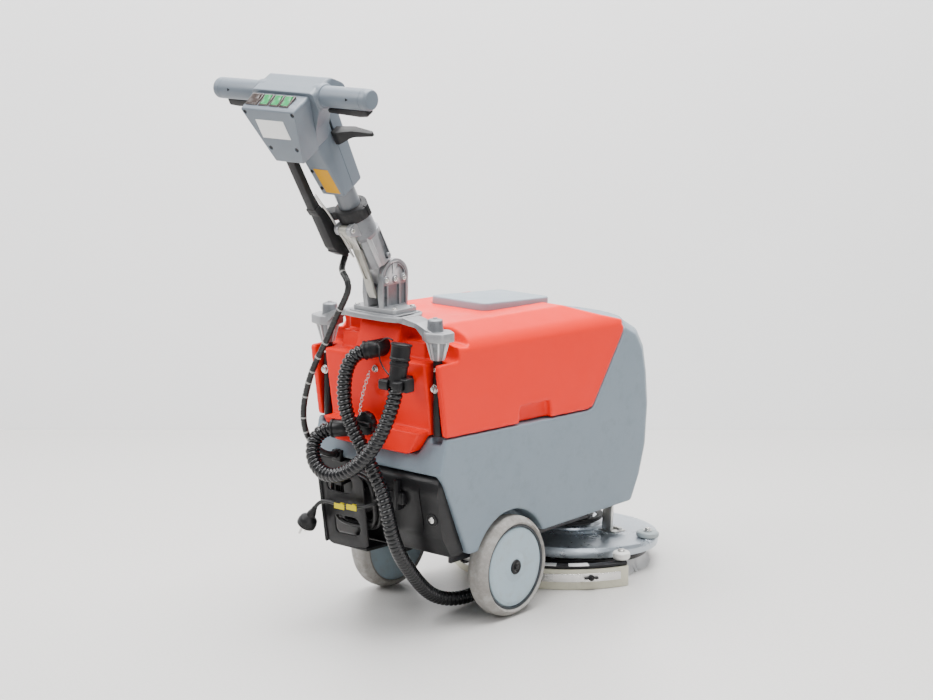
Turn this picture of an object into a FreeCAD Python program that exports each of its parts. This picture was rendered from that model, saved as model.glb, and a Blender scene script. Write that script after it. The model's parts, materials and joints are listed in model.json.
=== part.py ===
import FreeCAD, Part
import math
import os

# Walk-behind floor scrubber with a round brush deck, millimetres, +X to the machine's right, +Y forward,
# +Z up, floor at z = 0. Every length is laid out from the rear wheel axle (y = 0); the cell
# origin_shift then moves the whole machine so that the origin is the middle of its footprint.

Vector = FreeCAD.Vector
Rotation = FreeCAD.Rotation
Placement = FreeCAD.Placement

DIMENSIONS = {
    "origin_shift": 47.03,
    "wheel_radius": 100.0, "wheel_width": 50.0, "wheel_centre": 154.0, "rim_radius": 84.0,
    "axle_radius": 10.0, "running_gap": 0.05,
    "body_half_width": 165.0, "wall": 5.0, "front_radius": 184.0,
    "arch_radius": 113.0, "arch_depth": 46.0, "top_middle": 591.5, "top_slope": 2.5,
    "lid_half_width": 66.0, "lid_rear": 35.0, "lid_front": 242.0, "lid_thickness": 12.0,
    "lid_slope": 4.4, "lid_hinge_y": 249.0, "lid_hinge_z": 577.5,
    "post_x": 140.0, "post_y": -190.0, "post_radius": 9.0,
    "bridge_bottom": 603.0, "bridge_thickness": 12.0,
    "fork_gap": 27.2, "cheek_thickness": 11.4, "hinge_y": -180.0, "hinge_z": 677.0,
    "pivot_radius": 6.0, "column_y": -188.0, "column_z": 692.0, "column_lean": 30.0,
    "tube_radius": 20.5, "tube_back": -8.0, "tube_length": 284.0,
    "grip_axis_up": 420.0, "grip_axis_back": -26.0,
    "deck_y": 388.0, "deck_top": 67.0, "deck_tilt": 3.5, "deck_radius": 195.0, "deck_skirt": 22.0,
    "roller_bearing": 16.0,
    "bristle_length": 28.0,
    "squeegee_radius": 240.0, "squeegee_sweep": 70.0, "squeegee_height": 50.0,
    "hose_diameter": 29.0, "cable_diameter": 12.0, "lead_diameter": 8.0,
}

doc = FreeCAD.newDocument("floor_scrubber")
sheet = doc.addObject("Spreadsheet::Sheet", "dims")
for row, (alias, value) in enumerate(DIMENSIONS.items(), 1):
    sheet.set("A%d" % row, alias)
    sheet.set("B%d" % row, str(value))
    sheet.setAlias("B%d" % row, alias)
doc.recompute()

PARTS = []
NO_TURN = Rotation()
AXIS_TURN = {"z": NO_TURN, "x": Rotation(Vector(0, 1, 0), 90), "y": Rotation(Vector(1, 0, 0), -90)}


def dim(alias):
    return float(sheet.get(alias))


SHIFT = Placement(Vector(0, -dim("origin_shift"), 0), NO_TURN)
PIVOT = Vector(0, dim("hinge_y"), dim("hinge_z"))
COLUMN = Placement(Vector(0, dim("column_y"), dim("column_z")), Rotation(Vector(1, 0, 0), dim("column_lean")))
HINGE = COLUMN.inverse().multVec(PIVOT)
DECK = Placement(Vector(0, dim("deck_y"), dim("deck_top")), Rotation(Vector(1, 0, 0), -dim("deck_tilt")))
LEVEL = Placement()


def bind(thing, **sizes):
    """Gives each property a number, or ties it to the sheet when the size is written as an expression."""
    for prop, size in sizes.items():
        if isinstance(size, str):
            thing.setExpression(prop, size)
        else:
            setattr(thing, prop, size)
    return thing


def box(name, low, high):
    thing = doc.addObject("Part::Box", name)
    low, high = Vector(*low), Vector(*high)
    thing.Placement = Placement(low, NO_TURN)
    return bind(thing, Length=high.x - low.x, Width=high.y - low.y, Height=high.z - low.z)


def cylinder(name, radius, height, base, axis="z"):
    thing = doc.addObject("Part::Cylinder", name)
    thing.Placement = Placement(Vector(*base), AXIS_TURN[axis])
    return bind(thing, Radius=radius, Height=height)


def cone(name, radius1, radius2, height, base, axis="z"):
    thing = doc.addObject("Part::Cone", name)
    thing.Placement = Placement(Vector(*base), AXIS_TURN[axis])
    return bind(thing, Radius1=radius1, Radius2=radius2, Height=height)


def fuse(name, *things):
    whole = doc.addObject("Part::MultiFuse", name)
    whole.Shapes = list(things)
    return whole


def cut(name, base, *tools):
    whole = doc.addObject("Part::Cut", name)
    whole.Base = base
    whole.Tool = tools[0] if len(tools) == 1 else fuse(name + "_tools", *tools)
    return whole


def common(name, *things):
    whole = doc.addObject("Part::MultiCommon", name)
    whole.Shapes = list(things)
    return whole


def rod(name, radius, start, end):
    """A round bar between two points."""
    start, end = Vector(*start), Vector(*end)
    thing = doc.addObject("Part::Cylinder", name)
    thing.Placement = Placement(start, Rotation(Vector(0, 0, 1), end - start))
    return bind(thing, Radius=radius, Height=(end - start).Length)


def beyond(route, end, distance):
    """The point that lies past one end of a route, in line with its last run."""
    tip, inner = Vector(*route[end]), Vector(*route[end + (1 if end == 0 else -1)])
    return tip + (tip - inner).normalize() * distance


def mirrored(name, thing):
    """The same piece on the machine's other side."""
    twin = doc.addObject("Part::Mirroring", name)
    twin.Source = thing
    twin.Normal = Vector(1, 0, 0)
    return twin


def both_sides(name, thing):
    return fuse(name, thing, mirrored(name + "_left", thing))


def outline_edges(corners):
    """Lines and tangent arcs round a closed outline of (a, b, corner radius) points."""
    edges = []
    count = len(corners)
    ends = []
    for i, (a, b, radius) in enumerate(corners):
        here = Vector(a, b, 0)
        before = (Vector(*corners[i - 1][:2], 0) - here).normalize()
        after = (Vector(*corners[(i + 1) % count][:2], 0) - here).normalize()
        if radius == 0:
            ends.append((here, here))
            continue
        half = before.getAngle(after) / 2
        reach = radius / math.tan(half)
        start, stop = here + before * reach, here + after * reach
        centre = here + (before + after).normalize() * (radius / math.sin(half))
        first = math.atan2(start.y - centre.y, start.x - centre.x)
        last = math.atan2(stop.y - centre.y, stop.x - centre.x)
        if (last - first) % (2 * math.pi) > math.pi:
            first, last = last, first
        edges.append(Part.ArcOfCircle(Part.Circle(centre, Vector(0, 0, 1), radius), first, last))
        ends.append((start, stop))
    for i in range(count):
        start, stop = ends[i][1], ends[(i + 1) % count][0]
        if start.distanceToPoint(stop) > 0.001:
            edges.append(Part.LineSegment(start, stop))
    return edges


def sketched(body, name, plane, edges, offset=0.0):
    sketch = body.newObject("Sketcher::SketchObject", name + "_sketch")
    role = next(f for f in body.Origin.OriginFeatures if f.Role == plane + "_Plane")
    sketch.AttachmentSupport = [(role, "")]
    sketch.MapMode = "FlatFace"
    sketch.AttachmentOffset = Placement(Vector(0, 0, offset), NO_TURN)
    sketch.addGeometry(edges, False)
    return sketch


def prism(name, plane, corners, length, place=LEVEL, middle=True):
    """A body padded from a rounded outline on the YZ, XY or XZ plane."""
    body = doc.addObject("PartDesign::Body", name)
    pad = body.newObject("PartDesign::Pad", name + "_pad")
    pad.Profile = sketched(body, name, plane, outline_edges(corners))
    pad.SideType = "Symmetric" if middle else "One side"
    bind(pad, Length=length)
    body.Placement = place
    return body


def turned(name, corners, place=LEVEL):
    """A body revolved about its own Z axis from (radius, height, corner radius) points."""
    body = doc.addObject("PartDesign::Body", name)
    turn = body.newObject("PartDesign::Revolution", name + "_turn")
    sketch = sketched(body, name, "XZ", outline_edges(corners))
    turn.Profile = sketch
    turn.ReferenceAxis = (sketch, ["V_Axis"])
    turn.Angle = 360.0
    body.Placement = place
    return body


def solid_feature(name, shape):
    thing = doc.addObject("Part::Feature", name)
    thing.Shape = shape
    return thing


def node(name, thing, frame=LEVEL):
    """Names a finished sub-part and puts it where it belongs on the machine."""
    thing.Label = name
    thing.Placement = SHIFT.multiply(frame).multiply(thing.Placement)
    PARTS.append(thing)


def at(x, y, z, axis="z"):
    return Placement(Vector(x, y, z), AXIS_TURN[axis])


def shrink(corners, distance):
    """The same outline moved inwards by a wall thickness; the outline runs anticlockwise."""
    inner = []
    count = len(corners)
    for i, (a, b, radius) in enumerate(corners):
        before, after = corners[i - 1], corners[(i + 1) % count]
        d1 = Vector(a - before[0], b - before[1], 0).normalize()
        d2 = Vector(after[0] - a, after[1] - b, 0).normalize()
        n1, n2 = Vector(-d1.y, d1.x, 0), Vector(-d2.y, d2.x, 0)
        step = (n1 + n2) * (distance / (1 + n1.dot(n2)))
        inner.append((a + step.x, b + step.y, max(radius - distance, 0)))
    return inner


# ---- body shells -------------------------------------------------------------------------------

FRONT_PROFILE = ((150, 492), (200, 519), (260, 538), (345, 545), (410, 538), (465, 527), (500, 505),
                 (527, 455), (610, 440))


def body_form(name, inset=0.0):
    """The moulded outline of the whole body: straight sides and a front that is round in plan."""
    half = dim("body_half_width") - inset
    radius = dim("front_radius") - inset
    reach = radius - math.sqrt(radius ** 2 - half ** 2)
    swing = math.asin(half / radius)
    body = doc.addObject("PartDesign::Body", name)
    sketches = []
    for height, front in FRONT_PROFILE:
        front -= inset
        rear = -260.0
        shoulder = front - reach
        centre = Vector(0, front - radius, 0)
        arc = Part.ArcOfCircle(Part.Circle(centre, Vector(0, 0, 1), radius), math.pi / 2 - swing,
                               math.pi / 2 + swing)
        edges = [arc, Part.LineSegment(Vector(-half, shoulder, 0), Vector(-half, rear, 0)),
                 Part.LineSegment(Vector(-half, rear, 0), Vector(half, rear, 0)),
                 Part.LineSegment(Vector(half, rear, 0), Vector(half, shoulder, 0))]
        sketches.append(sketched(body, "%s_at_%d" % (name, height), "XY", edges, height))
    loft = body.newObject("PartDesign::AdditiveLoft", name + "_loft")
    loft.Profile = sketches[0]
    loft.Sections = sketches[1:]
    loft.Ruled = True
    return body


GREY_SIDE = [(-129, 151, 12), (495, 151, 0), (600, 250, 0), (600, 500, 0), (455, 528, 12), (373, 534, 4),
             (362, 509, 12), (262, 371, 6), (244, 368, 4), (-193, 388, 4), (-210, 322, 4)]
RED_SIDE = [(-194, 391, 6), (243, 371, 4), (260, 374, 6), (359, 511, 12), (367, 536, 4), (296, 556, 0),
            (190, 590, 0), (-190, 604, 24), (-214, 527, 20)]


def shoulders(name, inset=0.0):
    """The top that both tanks share: flat in the middle, with a crisp crest and a wide round shoulder each side."""
    half, top = dim("body_half_width") + 1 - inset, dim("top_middle") - inset
    corners = [(-half, 100, 0), (half, 100, 0), (half, 556 - inset, 45), (122, top, 0), (-122, top, 0),
               (-half, 556 - inset, 45)]
    return prism(name, "XZ", corners, 1300, Placement(Vector(0, 0, 0),
                                                      Rotation(Vector(1, 0, 0), -dim("top_slope"))))


def lower_tank():
    shell = common("grey_outer", prism("grey_side", "YZ", GREY_SIDE, 400), body_form("grey_form"),
                   shoulders("grey_top"))
    depth = dim("arch_depth")
    arch = cylinder("grey_arch", "dims.arch_radius", depth, (dim("body_half_width") - depth, 0, 100), "x")
    arch.setExpression("Placement.Base.z", "dims.wheel_radius")
    bay = box("grey_bay", (-113, -150, 157), (113, 235, 420))
    water = prism("grey_water", "XY", [(-140, 250, 20), (140, 250, 20), (120, 430, 60), (-120, 430, 60)], 190,
                  at(0, 0, 160), middle=False)
    filler = cylinder("grey_filler", 22, 70, (0, 272, 340))
    saddle = prism("grey_saddle", "XZ", [(-128, 404, 0), (-98, 353, 14), (98, 353, 14), (128, 404, 0)], 52,
                   at(0, -213, 0))
    rear_bay = prism("grey_rear_bay", "YZ", [(-190, 140, 0), (-122, 140, 0), (-185, 316, 0),
                                             (-260, 316, 0)], 322)
    posts = both_sides("grey_grooves", box("grey_groove", (128, -230, 380), (152, -178, 400)))
    node("lower_tank", cut("grey_tank", shell, both_sides("grey_arches", arch), bay, water, filler, saddle,
                           rear_bay, posts))


def recovery_tank():
    shell = common("red_outer", prism("red_side", "YZ", RED_SIDE, 400), body_form("red_form"),
                   shoulders("red_top"))
    wall = dim("wall")
    inside = common("red_inner", prism("red_side_inner", "YZ", shrink(RED_SIDE, wall), 400),
                    body_form("red_form_inner", wall), shoulders("red_top_inner", wall),
                    box("red_inner_limit", (-200, -148, 380), (200, 500, 640)))
    half = dim("lid_half_width")
    mouth = box("red_mouth", (8 - half, dim("lid_rear") + 10, 500), (half - 8, dim("lid_front") - 12, 620))
    recess = prism("red_recess", "XY", [(-half - 1, -1, 15), (half + 1, -1, 15), (half + 1, 228, 4),
                                        (-half - 1, 228, 4)],
                   40, lid_place(-1.2), middle=False)
    arm_room = fuse("red_arm_room", box("red_arm_room_rear", (50, -240, 533), (135, -186, 640)),
                    box("red_arm_room_top", (50, -190, 566), (135, -163, 640)))
    groove = fuse("red_groove", arm_room, box("red_groove_low", (128, -230, 380), (152, -178, 620)),
                  box("red_groove_top", (106, -240, 533), (176, -156, 640)))
    notch = box("red_notch", (160, -4, 371), (170, 34, 384))
    tongue = prism("red_tongue", "XZ", [(-124, 400, 0), (-96, 356, 14), (96, 356, 14), (124, 400, 0)], 32,
                   at(0, -206, 0))
    seat = both_sides("red_seats", fuse("red_seat", groove, notch))
    node("recovery_tank", cut("red_tank", fuse("red_whole", shell, tongue), inside, mouth, recess, seat))


def lid_place(lift=0.0):
    """The lid's own frame: it lies in a shallow recess that follows the slope of the tank's top."""
    return Placement(Vector(0, dim("lid_rear"), 587.5 + lift), Rotation(Vector(1, 0, 0), -dim("lid_slope")))


def tank_lid():
    half = dim("lid_half_width")
    long = dim("lid_front") - dim("lid_rear")
    y, z = dim("lid_hinge_y"), dim("lid_hinge_z")
    plate = prism("lid_plate", "XY", [(-half, 0, 14), (half, 0, 14), (half - 5, long, 14),
                                      (5 - half, long, 14)],
                  "dims.lid_thickness", lid_place(), middle=False)
    hinge = cylinder("lid_knuckle", 7, 40, (-20, y, z), "x")
    arm = box("lid_arm", (-20, y - 14, z - 3), (20, y, z + 3))
    bore = cylinder("lid_bore", 3.05, 60, (-30, y, z), "x")
    node("tank_lid", cut("lid_moulding", fuse("lid_whole", plate, hinge, arm), bore))
    ears = both_sides("lid_ears", box("lid_ear", (21, y - 5, z - 7.3), (27, y + 5, z + 5)))
    node("lid_hinge_pin", fuse("lid_pin", cylinder("lid_pin_rod", 3, 54, (-27, y, z), "x"), ears))


# ---- wheels and chassis ------------------------------------------------------------------------

def wheels():
    radius, rim, width = dim("wheel_radius"), dim("rim_radius"), dim("wheel_width")
    half = width / 2
    bore = dim("axle_radius") + dim("running_gap")
    for side, sign in (("right", 1), ("left", -1)):
        place = at(sign * dim("wheel_centre"), 0, radius, "x")
        tyre = [(rim, -half, 3), (radius, -half, 11), (radius, half, 11), (rim, half, 3)]
        node(side + "_tyre", turned(side + "_tyre_body", tyre, place))
        disc = [(bore, -half + 3, 0), (rim, -half + 3, 2), (rim, half - 1, 2), (rim - 7, half - 3, 1),
                (24, half - 7, 2), (18, half - 4, 2), (bore, half - 4, 0)]
        mould = turned(side + "_rim_body", disc, place)
        if sign < 0:
            mould.Placement = Placement(Vector(-dim("wheel_centre"), 0, radius),
                                        Rotation(Vector(0, 1, 0), -90))
        node(side + "_rim", mould)
    end = dim("wheel_centre") + half
    bar = cylinder("axle_bar", "dims.axle_radius", 2 * (end - 1), (1 - end, 0, radius), "x")
    cap = fuse("axle_cap", cylinder("axle_washer", 15, 3, (end - 3.5, 0, radius), "x"),
               cylinder("axle_nut", 8, 3, (end - 1, 0, radius), "x"))
    node("wheel_axle", fuse("axle_whole", bar, both_sides("axle_caps", cap)))


def chassis_frame():
    pan = box("pan", (-112, -118, 143), (112, 440, 150.5))
    keep_out = cylinder("pan_motor_hole", 64, 20, (0, dim("deck_y"), 135))
    cheek = box("cheek", (104, -45, 80), (112, 45, 144))
    bore = cylinder("cheek_bore", "dims.axle_radius", 260, (-130, 0, dim("wheel_radius")), "x")
    rail = box("rail", (96, -110, 118), (104, 330, 144))
    node("chassis_frame", cut("chassis", fuse("chassis_whole", pan, both_sides("cheeks", cheek),
                                              both_sides("rails", rail)), keep_out, bore))


def internals():
    cells = []
    for side, x in (("left", -56), ("right", 56)):
        case = box("battery_" + side, (x - 53, -100, 158), (x + 53, 80, 330))
        poles = fuse("battery_poles_" + side, cylinder("pole_a_" + side, 7, 14, (x, -80, 330)),
                     cylinder("pole_b_" + side, 7, 14, (x, 60, 330)))
        cells.append(fuse("battery_body_" + side, case, poles))
    node("batteries", fuse("battery_pair", *cells))
    node("vacuum_motor", turned("vacuum_body", [(0, 0, 0), (52, 0, 4), (52, 60, 4), (34, 66, 4),
                                                (34, 120, 8), (0, 120, 0)],
                                at(40, 160, 158)))
    node("battery_charger", box("charger_box", (-108, 90, 158), (-20, 225, 230)))
    valve = fuse("valve_body", box("valve_block", (-22, 290, 118), (22, 330, 142.5)),
                 cylinder("valve_coil", 13, 30, (-42, 310, 130), "x"))
    node("water_valve", valve)


HOLDER_LEAN = Placement(Vector(36, -3, 0), Rotation()).multiply(
    Placement(Vector(0, 0, 0), Rotation(Vector(1, 0, 0), 8), Vector(0, -247, 300)))


def rear_housing():
    """Black electrical housing under the tank's rear edge, and the holder that the mains lead is wound on."""
    side = [(-127, 152, 0), (-185.5, 315, 0), (-210, 315, 6), (-214, 290, 10), (-200, 190, 30),
            (-160, 152, 16)]
    box_body = prism("housing_side", "YZ", side, 160, at(78.5, 0, 0))
    rib = box("housing_rib", (52, -218, 205), (57, -190, 300))
    knob = cylinder("housing_knob", 12, 22, (122, -209, 236), "y")
    node("rear_housing", fuse("housing", box_body, rib, knob))
    plate = prism("holder_side", "YZ", [(-127, 152, 0), (-185.5, 315, 0), (-208, 315, 6), (-186, 205, 14),
                                        (-165, 152, 14)],
                  145, at(-75.5, 0, 0))
    outline = [(-140, 150, 14), (-34, 150, 10), (-34, 302, 14), (-140, 302, 20)]
    front = cut("holder_front", prism("holder_outline", "XZ", outline, 5, at(0, -249.5, 0)),
                box("upper_window", (-128, -260, 262), (-62, -240, 292)),
                box("lower_window", (-118, -260, 178), (-52, -240, 212)))
    arms = [box("holder_arm_%d_%d" % (x, z), (x, -247, z), (x + 16, -188, z + 10))
            for x in (-107, -56) for z in (273.5, 206.5)]
    for piece in [front] + arms:
        piece.Placement = HOLDER_LEAN.multiply(piece.Placement)
    gland = cylinder("gland_body", 10, 5, (-98, -216, 325), "y")
    foot = fuse("gland_foot", box("gland_foot_face", (-106, -216, 309), (-90, -211, 320)),
                box("gland_foot_root", (-106, -216, 309), (-90, -203, 314)))
    node("cable_holder", fuse("holder", plate, gland, foot, front, *arms))


# ---- deck, brush and squeegee ------------------------------------------------------------------

def deck():
    radius = dim("deck_radius")
    skirt = dim("deck_skirt")
    disc = turned("deck_disc", [(62, -8, 0), (172, -8, 0), (188, -skirt, 0), (radius, -skirt, 1),
                                (radius, -9, 2),
                                (184, 0, 2), (62, 0, 0)])
    ring = turned("deck_ring", [(62, -8, 0), (84, -8, 0), (84, 9, 3), (62, 9, 2)])
    edge = math.radians(dim("roller_bearing"))
    x, y = (radius - 12) * math.cos(edge), (radius - 12) * math.sin(edge)
    bolt = fuse("deck_bolt", cylinder("deck_bolt_rod", 5, 24, (x, y, -8)),
                cylinder("deck_bolt_head", 9, 4, (x, y, 15)))
    node("deck_plate", fuse("deck_casting", disc, ring, bolt), DECK)
    roller = turned("deck_roller_body", [(5.05, 0, 0), (24, 0, 4), (24, 12, 5), (5.05, 12, 0)], at(x, y, 2))
    node("deck_roller", roller, DECK)
    motor = turned("motor_body", [(0, -12, 0), (61.8, -12, 2), (61.8, 30, 3), (48, 36, 4), (48, 66, 4),
                                  (0, 66, 0)])
    pin = cylinder("motor_bore", 6.05, 160, (-80, 0, 52), "x")
    node("gear_motor", cut("motor", motor, pin), DECK)
    hub = turned("brush_block", [(0, -21, 0), (60, -21, 0), (60, -30, 0), (174, -30, 2), (174, -40, 2),
                                 (0, -40, 0)])
    node("brush_disc", hub, DECK)
    tip = -40 - dim("bristle_length") + 12
    node("brush_bristles", turned("bristle_ring", [(70, -40.0, 0), (173, -40.0, 0), (176, tip, 0),
                                                   (70, tip, 0)]), DECK)
    y, top = dim("deck_y"), dim("deck_top")
    ear = box("bracket_ear", (50, y - 22, 105), (58, y + 22, 142.5))
    foot = box("bracket_foot", (50, y - 30, 142.5), (110, y + 30, 143))
    rod = cylinder("bracket_pin", 6, 116, (-58, y + 52 * math.sin(math.radians(dim("deck_tilt"))),
                                           top + 51.9), "x")
    node("deck_bracket", fuse("bracket", both_sides("bracket_sides", fuse("bracket_side", ear, foot)), rod))


def arc_wall(name, outer, thickness, sweep, low, high, flat=0.0):
    """An upright curved wall round the deck's axis, centred on the machine's rear, open to the front."""
    ring = cut(name + "_ring", cylinder(name + "_outer", outer, high - low, (0, 0, low)),
               cylinder(name + "_inner", outer - thickness, high - low + 2, (0, 0, low - 1)))
    wide = 400.0
    angle = math.radians(sweep)
    tip = (wide * math.sin(angle), -wide * math.cos(angle), 0)
    wedge = prism(name + "_wedge", "XY", [(0, 0, 0), (-tip[0], tip[1], 0), (0, -2 * wide, 0), tip],
                  high - low + 4, at(0, 0, low - 2), middle=False)
    return common(name, ring, wedge)


def squeegee():
    outer, sweep, high = dim("squeegee_radius"), dim("squeegee_sweep"), dim("squeegee_height")
    frame = Placement(Vector(0, dim("deck_y"), 0), NO_TURN)
    beam = arc_wall("beam", outer - 5, 10, sweep, 22, high + 1)
    hub = cut("hub_ring", cylinder("hub_outer", 78, 7, (0, 0, 91)), cylinder("hub_inner", 66, 9, (0, 0, 90)))
    arm = box("carrier_arm", (-16, -228, 91), (16, -68, 97))
    drop = box("carrier_drop", (-16, -234, 44), (16, -226, 97))
    spigot = cut("nozzle", cylinder("nozzle_outer", 12, 34, (0, -264, 40), "y"),
                 cylinder("nozzle_bore", 9, 40, (0, -266, 40), "y"))
    node("squeegee_carrier", fuse("carrier", beam, hub, arm, drop, spigot), frame)
    blades = fuse("blades", arc_wall("rear_blade", outer - 0.5, 4.5, sweep, 1, 42),
                  arc_wall("front_blade", outer - 15, 4, sweep, 1, 40))
    node("squeegee_blades", cut("blade_pair", blades, cylinder("blade_gap", 12.3, 40, (0, -266, 40), "y")),
         frame)
    strip = arc_wall("strip", outer + 1, 1.5, sweep - 4, 20, 32)
    node("squeegee_clamp", cut("strip_band", strip, cylinder("strip_gap", 13, 40, (0, -266, 40), "y")), frame)
    nuts = []
    for i, angle in enumerate((-50, -22, 22, 50)):
        a = math.radians(angle)
        place = Placement(Vector((outer + 1) * math.sin(a), -(outer + 1) * math.cos(a), 26),
                          Rotation(Vector(0, 0, 1), angle).multiply(Rotation(Vector(1, 0, 0), 90)))
        nut = turned("wing_%d" % i, [(0, 0, 0), (7, 0, 1), (7, 6, 1), (3, 6, 0), (3, 11, 0), (0, 11, 0)],
                     place)
        wings = box("wing_bar_%d" % i, (-14, -2, 2), (14, 2, 8))
        wings.Placement = place.multiply(wings.Placement)
        nuts += [nut, wings]
    node("wing_nuts", fuse("nuts", *nuts), frame)
    pins = []
    angle = math.radians(sweep - 2)
    for side, sign in (("right", 1), ("left", -1)):
        x, y = sign * (outer - 16) * math.sin(angle), dim("deck_y") - (outer - 16) * math.cos(angle)
        roller = turned(side + "_end_roller_body", [(4.05, 0, 0), (18, 0, 4), (18, 16, 4), (4.05, 16, 0)],
                        at(x, y, 54.5))
        node(side + "_squeegee_roller", roller)
        pins += [cylinder(side + "_pin_rod", 4, 22, (x, y, 51)),
                 cylinder(side + "_pin_head", 8, 3, (x, y, 71))]
    node("roller_pins", fuse("roller_pin_pair", *pins))


# ---- bridge, posts and fork --------------------------------------------------------------------

def bridge():
    low = dim("bridge_bottom")
    x, y = dim("post_x"), dim("post_y")
    centre = prism("bridge_centre", "XY", [(-66, -226, 8), (66, -226, 8), (66, -136, 10), (-66, -136, 10)],
                   "dims.bridge_thickness", at(0, 0, low), middle=False)
    arm = prism("bridge_arm", "XZ", [(56, low, 0), (106, 596, 6), (124, 578, 6), (x, 574, 0), (x, 592, 0),
                                     (124, 597, 8),
                                     (106, 606, 8), (72, low + 10, 6), (56, low + 10, 0)], 44, at(0, y, 0))
    flange = cylinder("bridge_flange", 30, 18, (x, y, 574))
    leg = cone("bridge_leg", 11, 19, 37, (x, y, 537.5))
    clear = cylinder("post_socket", "dims.post_radius", 180, (x, y, 380))
    side = cut("bridge_side", fuse("bridge_side_whole", flange, leg, arm), clear)
    cap = turned("post_cap", [(0, -1, 0), (14.5, -1, 0), (14.5, 24, 3), (0, 24, 0)], at(x, y, 588))
    node("cast_bridge", fuse("bridge_casting", centre, both_sides("bridge_sides",
                                                                  fuse("bridge_post_end", side, cap))))
    node("rear_posts", both_sides("posts", cylinder("post", "dims.post_radius", 168, (x, y, 392))))
    bolt = fuse("post_bolt", cylinder("post_bolt_head", 8, 6, (x, y - 15.5, 484), "y"),
                cylinder("post_bolt_small", 4, 4, (x, y - 13.5, 520), "y"))
    return both_sides("bolts", bolt)


def handle_fork():
    post_bolts = bridge()
    gap, thick = dim("fork_gap") / 2, dim("cheek_thickness")
    base = prism("fork_base", "XY", [(-54, -213, 8), (54, -213, 8), (54, -148, 8), (-54, -148, 8)], 9,
                 at(0, 0, 615.2), middle=False)
    cheek = prism("fork_cheek", "YZ", [(-212, 620, 0), (-144, 620, 0), (-142, 650, 0), (-142, 698, 26),
                                       (-178, 722, 20),
                                       (-214, 698, 26), (-216, 650, 0)], "dims.cheek_thickness",
                                       at(gap + thick / 2, 0, 0))
    web = box("fork_web", (-gap - 1, -150, 620), (gap + 1, -144, 648))
    bore = cylinder("fork_bore", "dims.pivot_radius", 120, (-60, PIVOT.y, PIVOT.z), "x")
    node("handle_fork", cut("fork", fuse("fork_whole", base, web, both_sides("cheeks_pair", cheek)), bore))
    screws = [cylinder("fork_screw_%d" % i, 5, 4, (x, y, 624.2)) for i, (x, y) in
              enumerate(((-47, -206), (47, -206), (47, -155), (-47, -155)))]
    for i, y in enumerate((-203, -156)):
        screws.append(cylinder("cheek_screw_%d" % i, 5, 3, (gap + thick, y, 677), "x"))
        screws.append(cylinder("cheek_screw_left_%d" % i, 5, 3, (-gap - thick - 3, y, 677), "x"))
    node("frame_screws", fuse("frame_screw_set", post_bolts, *screws))
    pin = fuse("pivot", cylinder("pivot_rod", "dims.pivot_radius", 2 * (gap + thick),
                                 (-gap - thick, PIVOT.y, PIVOT.z), "x"),
               cylinder("pivot_head", 9, 4, (gap + thick, PIVOT.y, PIVOT.z), "x"),
               cylinder("pivot_nut", 9, 5, (-gap - thick - 5, PIVOT.y, PIVOT.z), "x"))
    node("pivot_pin", pin)


# ---- column and head: built upright about the fold pivot, then leaned back ----------------------

def column():
    tube, back = dim("tube_radius"), dim("tube_back")
    tongue_width = dim("fork_gap") - 1
    boss = cylinder("casting_boss", 20, tongue_width, (-tongue_width / 2, HINGE.y, HINGE.z), "x")
    tongue = box("casting_tongue", (-tongue_width / 2, -21, HINGE.z), (tongue_width / 2, 18, 30))
    barrel = prism("casting_barrel", "XY", [(-12, -31, 2), (12, -31, 2), (27, -14, 6), (27, 24, 20),
                                            (-27, 24, 20),
                                            (-27, -14, 6)], 70, at(0, 0, 26), middle=False)
    sleeve = cut("sleeve", cylinder("casting_sleeve", 28.5, 44, (0, back, 92)),
                 box("sleeve_flat", (-10, -40, 90), (10, -31, 140)))
    lugs = both_sides("casting_lugs", box("casting_lug", (9.6, -52, 118), (20, -24, 135.5)))
    bore = cylinder("casting_bore", tube + 0.05, 130, (0, back, 34))
    pin_bore = cylinder("casting_pin_bore", dim("pivot_radius") + dim("running_gap"), 90,
                        (-45, HINGE.y, HINGE.z), "x")
    lug_bore = cylinder("lug_bore", 4.05, 60, (-30, -44, 128), "x")
    windows = both_sides("casting_windows", box("casting_window", (14, 2, 40), (30, 15, 84)))
    whole = fuse("casting_whole", boss, tongue, barrel, sleeve, lugs)
    node("column_casting", cut("casting", whole, bore, pin_bore, lug_bore, windows), COLUMN)
    collar = cut("collar", fuse("collar_whole", cylinder("collar_ring", 31, 26, (0, back, 136)),
                                box("collar_ear", (24, -20, 138), (38, 2, 160)),
                                box("collar_arm", (-50, -38, 147), (-15, -20, 158))),
                 cylinder("collar_bore", tube + 0.05, 30, (0, back, 134)))
    node("clamp_collar", collar, COLUMN)
    upper = prism("cable_channel", "YZ", [(-66, 176, 2), (-48, 176, 2), (-52.5, 210, 0), (-52.5, 255, 3),
                                          (-66, 255, 3)], 22,
                  at(-40, 0, 0))
    lower = prism("cable_case", "YZ", [(-62, 178, 2), (-62, 96, 6), (-57, 82, 4), (-38, 65, 3), (-27, 65, 3),
                                       (-41, 170, 3), (-45, 178, 2)], 23.5, at(-40.25, 0, 0))
    node("cable_box", fuse("cable_box_whole", lower, upper), COLUMN)
    bar = prism("yoke_bar", "YZ", [(-49, 124, 0), (-38.5, 85, 20), (-43, 10, 30), (-48, -14, 10),
                                   (-48, -30, 2), (-41, -30, 2),
                                   (-41, -12, 10), (-36.5, 10, 30), (-32, 85, 20), (-38, 122, 0)], 18)
    yoke = fuse("yoke", bar, cylinder("yoke_eye", 8, 18, (-9, -44, 128), "x"),
                cylinder("yoke_pin", 4, 44, (-22, -44, 128), "x"))
    node("lock_yoke", yoke, COLUMN)


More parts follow.
